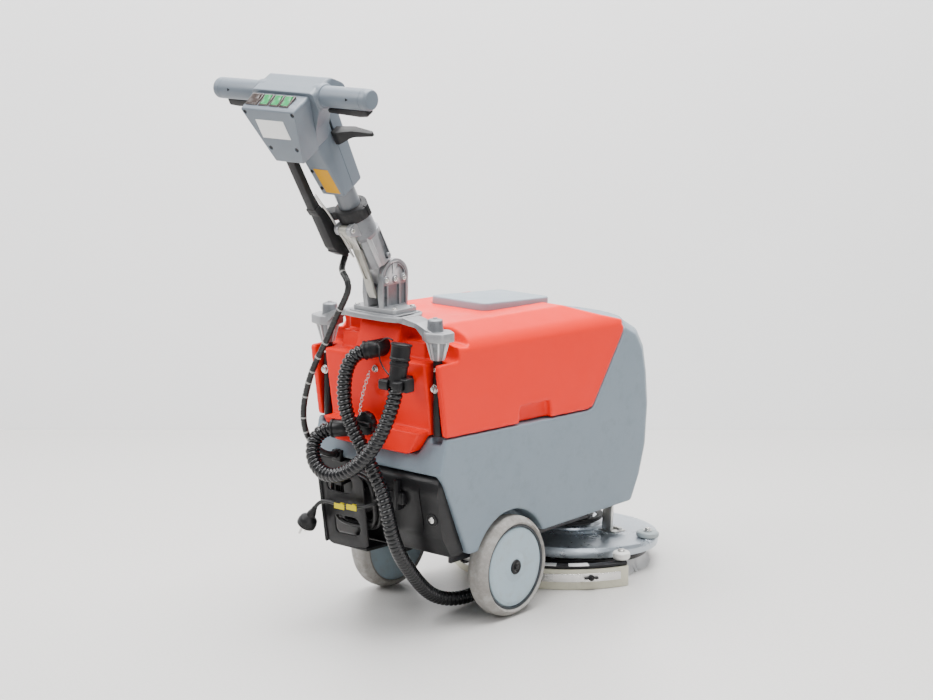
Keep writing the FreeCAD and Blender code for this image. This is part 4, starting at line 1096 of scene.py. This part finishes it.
def bridge():
    low = 603
    plan = [(-66, -222, 10), (-40, -228, 20), (40, -228, 20), (66, -222, 10), (74, -206, 8),
            (74, -160, 14), (56, -136, 12),
            (-56, -136, 12), (-74, -160, 14), (-74, -206, 8)]
    centre = prism("bridge_centre", "XY", plan, low, 613)
    pads = [cast(centre, 2)]
    step = prism("bridge_step", "XY", [(-60, -218, 6), (60, -218, 6), (60, -143, 6), (-60, -143, 6)], 612,
                 615.1)
    pads.append(cast(step, 1))
    ends = []
    side_arm = prism("bridge_arm", "XZ", [(50, 603, 0), (104, 597, 10), (122, 580, 8), (140, 576, 0),
                                          (140, 592, 0), (124, 598, 8),
                                          (106, 606, 10), (66, 613, 8), (50, 613, 0)], -212, -168, 8)
    taper = prism("arm_plan", "XY", [(50, -222, 0), (100, -212, 30), (140, -210, 0), (140, -170, 0),
                                     (100, -172, 30),
                                     (50, -150, 0)], 540, 640, 8)
    ends.append(cast(common(side_arm, taper), 2))
    hexagon = [(141 + 34 * math.cos(a), -190 + 30 * math.sin(a), 8)
               for a in [math.radians(22 + 60 * k) for k in range(6)]]
    ends.append(cast(prism("bridge_flange", "XY", hexagon, 574, 592, 5), 2))
    ends.append(cast(lathe("bridge_boss", [(0, 586, 0), (16.5, 586, 0), (15.2, 592, 3), (14.2, 611, 3),
                                           (0, 614, 0)], 40,
                           at(134, -190, 3)), 0.5))
    ends.append(lathe("boss_screw", [(0, 612, 0), (4.6, 612, 0), (4.6, 614.6, 0.6), (0, 614.8, 0)], 24,
                      at(134, -190, 3)))
    leg = lathe("bridge_leg", [(9.02, 537.5, 0), (11.4, 537.5, 1), (19, 574, 1), (9.02, 574, 0)], 40,
                at(140, -190, 0))
    ends.append(leg)
    for k in range(8):
        a = TAU * k / 8
        rib = prism("leg_rib", "XZ", [(9.5, 538, 0), (13, 538, 0.5), (22.5, 573, 0), (9.5, 573, 0)], -1.5,
                    1.5)
        ends.append(placed(rib, at(140, -190, 0, Matrix.Rotation(a, 4, "Z"))))
    whole = joined("cast_bridge_mesh", *pads, both_sides("bridge_ends", joined("bridge_end", *ends)))
    ready(placed(whole, MACHINE), "root", "cast_metal", CAST, "cast_bridge")
    post = rod("post", 9, (140, -190, 392), (140, -190, 560), 40, 1)
    ready(placed(both_sides("rear_posts_mesh", post), MACHINE), "root", "black_plastic", BLACK,
          "rear_posts")
    bolts = [lathe("post_bolt", [(0, 0, 0), (8.6, 0, 0), (8.6, 1.4, 0.5), (6.6, 1.6, 0), (6.6, 5.4, 1.4),
                                 (0, 6.2, 0)], 40,
                   at(140, -199, 484, TURN_Y.inverted())),
             lathe("post_rivet", [(0, 0, 0), (3.6, 0, 0), (3.2, 1.8, 1), (0, 2.4, 0)], 24,
                   at(140, -199, 520, TURN_Y.inverted()))]
    bolts = both_sides("post_bolts", joined("post_bolt_set", *bolts))
    return bolts


def arc_band(name, inner, outer, start, end, depth):
    """A cutter shaped like part of a flat ring about the middle of the fork's round top."""
    turns = [math.radians(start + (end - start) * k / 24) for k in range(25)]
    outside = [(-178.5 + outer * math.cos(a), 678 + outer * math.sin(a), 0) for a in turns]
    inside = [(-178.5 + inner * math.cos(a), 678 + inner * math.sin(a), 0) for a in reversed(turns)]
    return prism(name, "YZ", outside + inside, depth, 30)


def handle_fork():
    bolts = bridge()
    base = cast(prism("fork_base", "XY", [(-54, -213, 6), (54, -213, 6), (54, -148, 6), (-54, -148, 6)],
                      615.2, 624.2), 1.5)
    cheek = prism("fork_cheek", "YZ", [(-212, 620, 0), (-144, 620, 0), (-142, 650, 0), (-142, 699, 30),
                                       (-178, 723, 34),
                                       (-214, 699, 30), (-216, 650, 0)], 13.6, 25, 10)
    panels = [prism("panel", "YZ", [(y0, 627, 1), (y1, 627, 1), (y1, 667, 1), (y0, 667, 1)], 21, 30)
              for y0, y1 in ((-211, -202.5), (-197.5, -168), (-163.5, -149))]
    cut(cheek, *panels)
    cut(cheek, arc_band("dome_line", 29.5, 31.3, -8, 188, 23.6),
        arc_band("dome_slot", 22.5, 27.8, 20, 77, 21))
    cut(cheek, block("dome_slit", (21, -188.2, 688), (30, -185, 709)))
    bevel(cheek, 0.7, 2, 35)
    bosses = [rod("screw_boss", 8.2, (20, y, 677), (26, y, 677), 32, 0.8) for y in (-204, -180, -155.5)]
    side = joined("fork_side", cheek, *bosses)
    cross = cast(block("fork_back_web", (-14, -152, 620), (14, -144, 650)), 1.5)
    whole = joined("handle_fork_mesh", base, cross, both_sides("fork_sides", side))
    ready(placed(whole, MACHINE), "root", "cast_metal", CAST, "handle_fork")
    screws = [lathe("base_screw", [(0, 0, 0), (5, 0, 0), (5, 3, 1), (2.5, 3.2, 0), (2.2, 1.6, 0),
                                   (0, 1.6, 0)], 24,
                    at(x, y, 624)) for x, y in ((-47, -206), (47, -206), (47, -155), (-47, -155))]
    for y in (-204, -180, -155.5):
        screw = lathe("cheek_screw", [(0, 0, 0), (5.4, 0, 0), (5.4, 2.2, 0.8), (2.8, 2.4, 0),
                                      (2.4, 1.0, 0), (0, 1.0, 0)], 24,
                      at(25.8, y, 677, TURN_X))
        screws += [screw, mirrored(screw)]
    whole = placed(joined("frame_screws_mesh", bolts, *screws), MACHINE)
    ready(whole, "root", "steel", STEEL, "frame_screws")
    pin = [rod("pivot_rod", 5.9, (-24.6, -180, 677), (24.6, -180, 677))]
    ready(placed(joined("pivot_pin_mesh", *pin), MACHINE), "root", "steel", STEEL, "pivot_pin")


# ---- column, built upright on its foot beside the fold pivot, then leaned back ---------------------

def column():
    boss = rod("casting_boss", 20, (-13, -0.6, -17), (13, -0.6, -17), 64, 1.5)
    tongue = block("casting_tongue", (-13, -21, -17), (13, 19, 40))
    barrel = prism("casting_barrel", "XY", [(-12, -31, 3), (12, -31, 3), (27, -14, 8), (27, 24, 20),
                                            (-27, 24, 20), (-27, -14, 8)],
                   26, 97, 8)
    sleeve = lathe("casting_sleeve", [(0, 88, 0), (27, 88, 3), (29.5, 97, 3), (28.2, 136, 1.5),
                                      (0, 136, 0)], 72, at(0, -8, 0))
    cut(sleeve, rod("casting_bore", 20.6, (0, -8, 70), (0, -8, 150), 64, 0),
        block("sleeve_flat", (-10, -46, 84), (10, -31.2, 150)))
    for side in (-1, 1):
        low, high = sorted((side * 19, side * 34))
        cut(barrel, prism("casting_window", "YZ", [(-3, 30, 5), (14, 30, 5), (17, 88, 5), (3, 88, 5)],
                          low, high))
    cast(barrel, 1.2, 40)
    cast(sleeve, 0.8, 40)
    cast(tongue, 1.2)
    lug = prism("casting_lug", "YZ", [(-52.5, 120, 8), (-52.5, 136.5, 8), (-38, 137.5, 4), (-20, 136, 0),
                                      (-20, 100, 0), (-34, 108, 8)],
                9.6, 20, 8)
    lugs = both_sides("casting_lugs", cast(lug, 1))
    rib = both_sides("barrel_ribs", cast(block("barrel_rib", (21, -24, 28), (25, -15, 104)), 1.2))
    bump = both_sides("barrel_bumps", rod("barrel_bump", 4.6, (20, 9, 34), (27, 9, 34), 24, 2))
    rib = joined("barrel_trim", rib, bump)
    screw = lathe("sleeve_screw", [(0, 0, 0), (3.6, 0, 0), (3.2, 1.2, 0.6), (0, 1.4, 0)], 20,
                  at(23, 6, 112, Matrix.Rotation(math.radians(55), 4, "Z") @ TURN_X))
    whole = placed(joined("column_casting_mesh", barrel, sleeve, tongue, boss, lugs, rib, screw), COLUMN)
    ready(whole, "column", "cast_metal", CAST, "column_casting")

    ring = lathe("collar_ring", [(20.6, 134, 1), (31, 134, 2), (31.5, 160, 3), (22, 162, 1),
                                 (20.6, 161, 0)], 72, at(0, -8, 0))
    ear = cast(prism("collar_ear", "XY", [(22, -24, 3), (38, -18, 5), (38, 2, 5), (22, 8, 3)], 138, 160),
               1.5)
    bar = cast(prism("collar_arm", "XY", [(-50, -40, 3), (-30, -40, 3), (-12, -34, 3), (-12, -14, 3),
                                          (-34, -18, 6), (-50, -26, 4)],
                     142, 160), 1.5)
    cut(ear, block("ear_slit", (20, -9, 130), (50, -7, 170)))
    ready(placed(joined("clamp_collar_mesh", ring, ear, bar), COLUMN), "column", "black_plastic",
          SOFT_BLACK, "clamp_collar")

    case = prism("cable_case", "YZ", [(-62, 178, 2), (-62, 96, 6), (-57, 82, 4), (-38, 65, 3),
                                      (-27, 65, 3), (-41, 170, 3),
                                      (-45, 178, 2)], -52, -28.6)
    channel = prism("cable_channel", "YZ", [(-66, 176, 2), (-48, 176, 2), (-52.5, 210, 0),
                                            (-52.5, 300, 3), (-66, 300, 3)],
                    -50, -31)
    ledge = prism("cable_ledge", "YZ", [(-64, 170, 1), (-50, 170, 1), (-50, 186, 1), (-67, 186, 1)], -53,
                  -28.4)
    foot = prism("cable_foot", "YZ", [(-60, 84, 2), (-42, 62, 2), (-26, 62, 2), (-26, 70, 2),
                                      (-46, 92, 2)], -53, -28.2)
    whole = joined("cable_box_mesh", cast(case, 1.4), cast(channel, 1.4), cast(ledge, 1), cast(foot, 1))
    ready(placed(whole, COLUMN), "column", "black_plastic", SOFT_BLACK, "cable_box")
    route = [Vector((-27, -53, 212)), Vector((-27, -50, 196)), Vector((-27, -41, 160)),
             Vector((-27, -38, 140)),
             Vector((-27, -32, 80)), Vector((-27, -29, 50))]
    strip = swept("column_strip", spaced(smoothed(route, 3), 3), 2.4, 10)
    ready(placed(strip, COLUMN), "column", "cast_metal", STRIP)

    bar = prism("yoke_bar", "YZ", [(-50, 124, 4), (-38.5, 86, 40), (-43, 10, 60), (-48, -14, 20),
                                   (-48, -30, 2), (-41, -30, 2),
                                   (-41, -12, 14), (-36, 10, 40), (-31.6, 85, 30), (-37, 122, 4)], -9, 9, 8)
    bevel(bar, 1.2, 2)
    groove = prism("yoke_groove", "YZ", [(-60, 76, 0), (-42, 76, 0), (-44.5, 12, 0), (-60, 12, 0)], -3.2,
                   3.2)
    placed(groove, Matrix.Translation((0, 3.2, 0)))
    cut(bar, groove)
    eye = rod("yoke_eye", 8.6, (-9.2, -44, 128), (9.2, -44, 128), 48, 1)
    cheeks = both_sides("yoke_cheeks", cast(prism("yoke_cheek", "YZ",
                                                  [(-51, 122, 2), (-41, 78, 6), (-34, 78, 4),
                                                   (-38, 122, 2)], 7, 12.6), 1))
    yoke = joined("lock_yoke_mesh", bar, eye, cheeks, rod("yoke_pin", 4, (-22, -44, 128), (22, -44, 128)))
    ready(placed(yoke, COLUMN), "yoke", "cast_metal", CAST_WARM, "lock_yoke")
    heads = both_sides("yoke_screws", lathe("yoke_screw", [(0, 19, 0), (5, 19, 0), (4.6, 22.4, 1),
                                                           (2.6, 22.6, 0), (2.4, 21, 0), (0, 21, 0)],
                                            24, at(0, -44, 128, TURN_X)))
    ready(placed(heads, COLUMN), "yoke", "steel", STEEL)


# ---- head -------------------------------------------------------------------------------------------

def head():
    mast = lathe("mast", [(18, 34, 0), (20.5, 34, 0.5), (20.5, 318, 0.5), (18, 318, 0)], 64, at(0, -8, 0))
    ready(placed(mast, COLUMN), "head", "tube_grey", TUBE, "telescope_tube")
    neck = prism("neck_side", "YZ", [(-36, 200, 5), (20, 203, 6), (31, 340, 0), (32, 392, 0),
                                     (-10, 404, 0), (-44, 330, 0),
                                     (-50, 322, 0)], -28, 28, 8)
    bevel(neck, 4, 4, 40)
    seam = [prism("neck_seam", "YZ", [(-8.4, 190, 0), (-7.6, 190, 0), (-0.6, 300, 0), (-1.4, 300, 0)],
                  27.2, 40),
            prism("lever_slot", "YZ", [(-4.5, 298, 1), (1.5, 298, 1), (6, 348, 1), (0, 348, 1)], 22, 40)]
    twin = [mirrored(piece) for piece in seam]
    cut(neck, *seam, *twin, rod("neck_hole", 20.7, (0, -8, 190), (0, -8, 240), 48, 0.1))
    ready(placed(neck, COLUMN), "head", "head_grey", HEAD, "head_neck")
    lining = both_sides("slot_lining", block("slot_liner", (20, -4, 299), (24, 5, 347)))
    ready(placed(lining, COLUMN), "head", "black_plastic", BLACK)

    plan = [(-30, 320, 6), (30, 320, 6), (46, 360, 60), (76, 404, 18), (76, 442, 9), (-76, 442, 9),
            (-76, 404, 18), (-46, 360, 60)]
    outer = prism("front_plan", "XZ", plan, -51, 60, 10)
    profile = prism("front_profile", "YZ", [(-51, 318, 0), (-14, 318, 20), (-8, 384, 20), (30, 396, 10),
                                            (26, 414, 30),
                                            (3, 441, 14), (-51, 442.5, 2)], -90, 90, 10)
    front = common(outer, profile)
    lathe_bulge = lathe("grip_socket", [(0, 60, 0), (22.5, 60, 0), (22.5, 80, 3), (0, 80, 0)], 48,
                        at(0, -26, 420, TURN_X))
    union(front, lathe_bulge, mirrored(lathe_bulge))
    applied(front, "REMESH", mode="VOXEL", voxel_size=1.1, adaptivity=0.0)
    applied(front, "SMOOTH", factor=0.5, iterations=5)
    applied(front, "DECIMATE", decimate_type="COLLAPSE", ratio=0.5)
    ready(placed(front, COLUMN), "head", "head_grey", HEAD, "head_front_cover", angle=50)

    rear_plan = [(-33, 318, 4), (33, 318, 4), (67, 436, 5), (-67, 436, 5)]
    rear = common(prism("rear_plan", "XZ", rear_plan, -99, -51.6),
                  prism("rear_side", "YZ", [(-98, 318.5, 4), (-51.6, 320, 0),
                  (-51.6, 441.5, 0), (-98, 433, 4)], -90, 90))
    bevel(rear, 2.2, 4, 35)
    screws, wells = [], []
    for x, u in ((58.5, 428.8 - 3), (-58.5, 428.8 - 3), (32, 349.6), (-32, 349.6)):
        wells.append(rod("screw_well", 4.6, (x, -99, u), (x, -94, u), 24, 0.1))
        screws.append(rod("cover_screw", 4, (x, -96.6, u), (x, -93, u), 24, 0.6))
        wells[-1].name = "screw_well"
    cut(rear, *wells)
    ready(placed(rear, COLUMN), "head", "head_grey", HEAD, "head_rear_cover")
    neck_screws = [rod("neck_screw", 3.6, (-20, -44.6, 259), (-20, -40, 259), 24, 0.6),
                   rod("neck_screw", 3.6, (-19, -40.2, 218), (-19, -36, 218), 24, 0.6)]
    ready(placed(joined("head_screws", *screws, *neck_screws), COLUMN), "head", "black_plastic", BLACK)
    plate = bevel(prism("name_plate", "XZ", [(-40, 371.5, 1), (29, 371.5, 1), (28, 411, 1),
                                             (-40, 411, 1)], -98.5, -97.6), 0.2)
    ready(placed(plate, COLUMN), "head", "head_grey", WHITE)
    tilt = math.atan2(14, 122)
    sticker = bevel(prism("safety_sticker", "XZ", [(-13, -29, 1), (22, -29, 1), (22, 29, 1),
                                                   (-13, 29, 1)], -0.35, 0.3), 0.1)
    placed(sticker, COLUMN @ at(0, -40.4, 237, Matrix.Rotation(tilt, 4, "X")))
    ready(sticker, "head", "head_grey", STICKER)

    grips, caps = [], []
    for side in (1, -1):
        turn = TURN_X if side > 0 else TURN_X @ Matrix.Rotation(math.pi, 4, "X")
        place = at(0, -26, 420, turn)
        grip = lathe("grip", [(0, 72, 0), (19.5, 72, 1), (19.5, 172, 0.8), (18.9, 172.4, 0),
                              (18.9, 173.4, 0), (19.5, 173.8, 0.8),
                              (19.3, 184, 3), (17, 189, 3), (0, 189, 0)], 72, place)
        grips.append(grip)
        mark = prism("grip_mark", "XY", [(-3, -3, 0.5), (3.5, 0, 0.5), (-3, 3, 0.5)], 0, 2)
        caps.append(placed(mark, at(side * 146, -26, 420, Matrix.Rotation(math.radians(62), 4, "X")
                                    @ at(0, 0, 17.9))))
    ready(placed(joined("handle_grips_mesh", *grips), COLUMN), "head", "grip_grey", HEAD, "handle_grips")
    ready(placed(joined("grip_marks", *caps), COLUMN), "head", "black_plastic", BLACK)
    paddle = prism("run_paddle", "XZ", [(78, 397, 1), (100, 400, 4), (171, 401, 2), (172, 388, 4),
                                        (150, 386, 10), (78, 390, 2)],
                   -34, -18, 8)
    bevel(paddle, 2.2, 3)
    ready(placed(both_sides("run_lever_mesh", paddle), COLUMN), "run_lever", "black_plastic", SOFT_BLACK,
          "run_lever")

    lever = prism("release_plan", "XY", [(30, -9, 3), (44, -9, 8), (66, 9, 14), (103, 17, 2),
                                         (107, 24, 4), (64, 24, 16),
                                         (42, 12, 8), (30, 9, 3)], 296, 330, 8)
    thin = prism("release_side", "XZ", [(30, 300, 3), (40, 300, 6), (60, 306, 10), (106, 305, 3),
                                        (107, 311, 3), (70, 318, 20),
                                        (44, 326, 8), (30, 328, 3)], -20, 40, 8)
    lever = bevel(common(lever, thin), 1.6, 3, 50)
    ready(placed(lever, COLUMN), "release_lever", "black_plastic", SOFT_BLACK, "release_lever")

    deck_slope = math.atan2(8.5, 46.4)
    for name, x, width, finish, glow in (("main", -47, 25, SWITCH_BLACK, "switch_black"),
                                         ("brush", -18, 20, SWITCH_GREEN, "switch_green"),
                                         ("suction", 8, 20, SWITCH_GREEN, "switch_green"),
                                         ("water", 33, 20, SWITCH_GREEN, "switch_green")):
        half = width / 2
        place = at(x, -74.5, 437.6, Matrix.Rotation(deck_slope, 4, "X"))
        frame_part = cut(bevel(block("switch_frame", (-half - 1.6, -14, -3), (half + 1.6, 14, 1.6)), 1),
                         block("switch_gap", (-half + 1.6, -11.4, -6), (half - 1.6, 11.4, 6)))
        ready(placed(frame_part, COLUMN @ place), "head", "switch_black", SWITCH_BLACK)
        rocker = prism("rocker", "YZ", [(-11, -4, 0), (11, -4, 0), (11, 4.4, 1.5), (0, 2, 14),
                                        (-11, 1.6, 1.5)],
                       -half + 1.9, half - 1.9, 8)
        bevel(rocker, 0.8, 3)
        ready(placed(rocker, COLUMN @ place), name + "_switch", glow, finish, name + "_switch")


handle_fork()
column()
head()


# ---- chassis, deck, brush and squeegee ------------------------------------------------------------------

def chassis():
    pan = cut(block("pan", (-112, -118, 143), (112, 440, 150.5)),
              rod("pan_hole", 64, (0, 388, 130), (0, 388, 160), 64, 0.1))
    cheek = bevel(prism("axle_cheek", "YZ", [(-45, 144, 0), (45, 144, 0), (22, 80, 14), (-22, 80, 14)],
                        104, 112), 1)
    rail = bevel(block("rail", (96, -110, 118), (104, 330, 144)), 1)
    whole = joined("chassis_frame_mesh", bevel(pan, 1), both_sides("rails",
                                                                   joined("rail_set", cheek, rail)))
    ready(placed(whole, MACHINE), "root", "painted_frame", FRAME_PAINT, "chassis_frame")


def deck():
    plate = lathe("deck_plate_mesh", [(62, -8, 0), (172, -8, 0), (190, -21, 0), (190.5, -22, 0),
                                      (195, -22, 1.5), (195.5, -9, 2),
                                      (193.5, -2.6, 1), (192.5, -1.2, 0.6), (176, 0.6, 1.5),
                                      (173, 0, 0.6), (88, 2.6, 4),
                                      (84, 9, 3), (62, 9, 2)], 160)
    lug = prism("roller_lug", "XY", [(150, 30, 8), (150, 68, 10), (188, 70, 18), (200, 42, 16),
                                     (186, 28, 10)], -7, 0.6)
    whole = joined("deck_whole", plate, bevel(lug, 2))
    ready(placed(whole, DECK), "deck", "deck_casting", DECK_GREY, "deck_plate")
    edge = math.radians(16)
    x, y = 183 * math.cos(edge), 183 * math.sin(edge)
    bolt = joined("roller_bolt", rod("bolt_rod", 5, (x, y, -8), (x, y, 16), 24),
                  lathe("bolt_washer", [(0, 14.4, 0), (9, 14.4, 0),
                  (9, 16, 0.4), (0, 16, 0)], 32, at(x, y, 0)),
                  lathe("bolt_nut", [(0, 16, 0), (6.5, 16, 0.5), (6.5, 21, 1), (0, 21, 0)],
                                                                     6, at(x, y, 0)))
    ready(placed(bolt, DECK), "deck", "steel", STEEL)
    roller = lathe("roller_wheel", [(5.05, 2, 0), (22, 2, 2), (24, 5, 2), (24, 11, 2), (21, 14, 3),
                                    (12, 13, 2), (5.05, 13, 0)],
                   64, at(x, y, 0))
    ready(placed(roller, DECK), "deck_roller", "roller_grey", ROLLER_GREY, "deck_roller")
    motor = joined("gear_motor_mesh",
                   lathe("motor_base", [(0, -12, 0), (61.6, -12, 1), (61.6, 18, 2), (56, 22, 3),
                                        (56, 32, 3), (48, 34, 2),
                                        (48, 60, 4), (40, 66, 4), (0, 66, 0)], 72),
                   *[rod("motor_bolt", 4.5, (52 * math.cos(a), 52 * math.sin(a), 30),
                         (52 * math.cos(a), 52 * math.sin(a), 37), 6, 0.6)
                     for a in [TAU * k / 8 + 0.2 for k in range(8)]])
    ready(placed(motor, DECK), "deck", "black_plastic", MOTOR_DARK, "gear_motor")
    ring = lathe("motor_ring", [(60, 8, 0), (80, 8, 2), (78, 15, 2), (60, 16, 0)], 96)
    ready(placed(ring, DECK), "deck", "deck_casting", DECK_GREY)

    upright = joined("deck_upright", bevel(block("upright_plate", (92, 2, 10), (97, 36, 70)), 1.4),
                     bevel(block("upright_side", (92, 2, 10), (116, 6, 68)), 1.4),
                     bevel(block("upright_foot", (84, 0, 6), (128, 38, 10.5)), 1.2),
                     *[lathe("foot_bolt", [(0, 10, 0), (6, 10, 0.4), (6, 15, 1), (0, 15, 0)], 6,
                             at(bx, by, 0))
                       for bx, by in ((106, 12), (120, 28), (108, 30))])
    ready(placed(upright, DECK), "deck", "galvanised", ZINC)
    ears = both_sides("bracket_ears", bevel(block("bracket_ear", (50, 366, 100), (58, 410, 142.5)), 1))
    tilt_pin = rod("bracket_pin", 6, (-58, 391.2, 118.9), (58, 391.2, 118.9))
    ready(placed(joined("deck_bracket_mesh", ears, tilt_pin), MACHINE), "root", "galvanised", ZINC,
          "deck_bracket")
    valve = joined("water_valve_mesh", bevel(block("valve_block", (-22, 290, 118), (22, 330, 142.5)), 2),
                   rod("valve_coil", 13, (-42, 310, 130), (-12, 310, 130)))
    ready(placed(valve, MACHINE), "root", "black_plastic", BLACK, "water_valve")


def brush():
    disc = lathe("brush_disc_mesh", [(0, -21, 0), (60, -21, 0), (60, -30, 0), (174, -30, 2),
                                     (174, -40, 2), (0, -40, 0)], 96)
    ready(placed(disc, DECK), "brush", "black_plastic", BLACK, "brush_disc")
    dice = random.Random(7)
    verts, faces = [], []
    for radius, tufts, strands, lean in ((169, 104, 30, 9), (158, 92, 12, 5), (140, 60, 8, 2),
                                         (110, 44, 8, 1), (84, 34, 8, 0)):
        for t in range(tufts):
            around = TAU * (t + dice.uniform(-0.1, 0.1)) / tufts
            drift = dice.uniform(-0.015, 0.015)
            for _ in range(strands):
                a = around + dice.uniform(-0.018, 0.018) * 170 / radius
                r = radius + dice.uniform(-3, 3)
                spread, skew = lean + dice.uniform(-3, 4), drift + dice.uniform(-0.03, 0.03)
                reach = 68.5 - 40 - dice.uniform(0, 1.2)
                thick = 0.5
                ring_start = len(verts)
                for k in range(4):
                    s = k / 3
                    rr, aa, z = r + spread * s * s, a + skew * s * s, -40 - reach * s + 0.0
                    c = Vector((rr * math.cos(aa), rr * math.sin(aa), z))
                    out = Vector((math.cos(aa), math.sin(aa), 0))
                    side = Vector((-math.sin(aa), math.cos(aa), 0))
                    w = thick * (1 - 0.3 * s)
                    verts += [c + out * w, c + side * w - out * w * 0.5, c - side * w - out * w * 0.5]
                for k in range(3):
                    for m in range(3):
                        n = (m + 1) % 3
                        b = ring_start + k * 3
                        faces.append((b + m, b + n, b + 3 + n, b + 3 + m))
                faces.append((ring_start + 9, ring_start + 10, ring_start + 11))
    tufts = mesh_piece("brush_bristles_mesh", verts, faces)
    placed(tufts, DECK)
    for vertex in tufts.data.vertices:
        vertex.co.z = max(vertex.co.z, 0.0006)
    ready(tufts, "brush", "bristle_white", BRISTLE, "brush_bristles", angle=80)


def arc(name, outer, inner, low, high, sweep, steps=96, shift=0.0):
    """An upright curved wall about the swing axis, centred on the machine's rear."""
    verts, faces = [], []
    for k in range(steps + 1):
        a = math.radians(shift - sweep + 2 * sweep * k / steps)
        for r, z in ((inner, low), (outer, low), (outer, high), (inner, high)):
            verts.append((r * math.sin(a), -r * math.cos(a), z))
    for k in range(steps):
        b = 4 * k
        for m in range(4):
            n = (m + 1) % 4
            faces.append((b + m, b + n, b + 4 + n, b + 4 + m))
    faces += [(3, 2, 1, 0), tuple(4 * steps + m for m in range(4))]
    return tidy(mesh_piece(name, verts, faces))


def squeegee():
    parts = [bevel(arc("beam", 235, 225, 22, 50, 70), 1), bevel(arc("beam_top", 240.6, 222, 46.5, 51, 69),
                                                                1.2),
             lathe("hub_ring", [(66, 91, 1), (78, 91, 1), (78, 98, 1), (66, 98, 1)], 96),
             bevel(block("carrier_arm", (-16, -228, 91), (16, -68, 97)), 1.5),
             bevel(block("carrier_drop", (-16, -234, 44), (16, -226, 97)), 1.5),
             cut(rod("nozzle", 12, (0, -264, 40), (0, -230, 40), 40),
                 rod("nozzle_bore", 9, (0, -270, 40), (0, -240, 40), 40, 0.1))]
    ready(placed(joined("squeegee_carrier_mesh", *parts), SWING), "squeegee", "black_plastic", SOFT_BLACK,
          "squeegee_carrier")
    blades = joined("squeegee_blades_mesh", bevel(arc("rear_blade", 239.5, 235.1, 0.6, 43, 70), 0.8),
                    bevel(arc("front_blade", 224.9, 221, 0.6, 40, 70), 0.8))
    ready(placed(blades, SWING), "squeegee", "blade_rubber", RUBBER, "squeegee_blades")
    strips = [bevel(arc("strip", 241.2, 239.6, 17, 34, 25.5, 48, side * 40), 0.5) for side in (-1, 1)]
    ready(placed(joined("squeegee_clamp_mesh", *strips), SWING), "squeegee", "steel", STEEL,
          "squeegee_clamp")
    plates = [bevel(arc("plate", 241.6, 223, 50.4, 52, 5, 12, angle), 0.3) for angle in (28, 44, -28, -44)]
    ready(placed(joined("squeegee_plates", *plates), SWING), "squeegee", "steel", LIGHT_PLATE)
    nuts = []
    for angle in (-50, -22, 22, 50):
        a = math.radians(angle)
        place = at(241 * math.sin(a), -241 * math.cos(a), 26,
                   Matrix.Rotation(a, 4, "Z") @ TURN_Y.inverted())
        nut = lathe("wing_core", [(0, 0, 0), (6.4, 0, 0.6), (6, 6.5, 1.2), (3, 6.8, 0), (3, 11, 0.8),
                                  (0, 11, 0)], 32)
        wing = prism("wing", "XZ", [(-15, 2, 2), (-12, 1, 1), (12, 1, 1), (15, 2, 2), (15, 8, 3),
                                    (8, 8, 2), (5, 5, 2), (-5, 5, 2),
                                    (-8, 8, 2), (-15, 8, 3)], -1.8, 1.8)
        nuts.append(placed(joined("wing_nut", nut, bevel(wing, 0.7)), place))
    ready(placed(joined("wing_nuts_mesh", *nuts), SWING), "squeegee", "black_plastic", SOFT_BLACK,
          "wing_nuts")
    a = math.radians(68)
    pins = []
    for side, sign in (("right", 1), ("left", -1)):
        x, y = sign * 224 * math.sin(a), -224 * math.cos(a)
        roller = lathe(side + "_roller", [(4.05, 54.5, 0), (16, 54.5, 2), (18, 58, 3), (18, 67, 3),
                                          (14, 70.5, 3), (4.05, 70.5, 0)],
                       56, at(x, y, 0))
        ready(placed(roller, SWING), side + "_squeegee_roller", "roller_white", ROLLER_WHITE,
              side + "_squeegee_roller")
        pins += [rod("pin_rod", 4, (x, y, 51), (x, y, 73), 24),
                 lathe("pin_head", [(0, 71, 0), (8, 71, 0.5), (7, 74, 1.5), (0, 74.4, 0)],
                                                                     32, at(x, y, 0))]
    ready(placed(joined("roller_pins_mesh", *pins), SWING), "squeegee", "steel", STEEL, "roller_pins")


chassis()
deck()
brush()
squeegee()
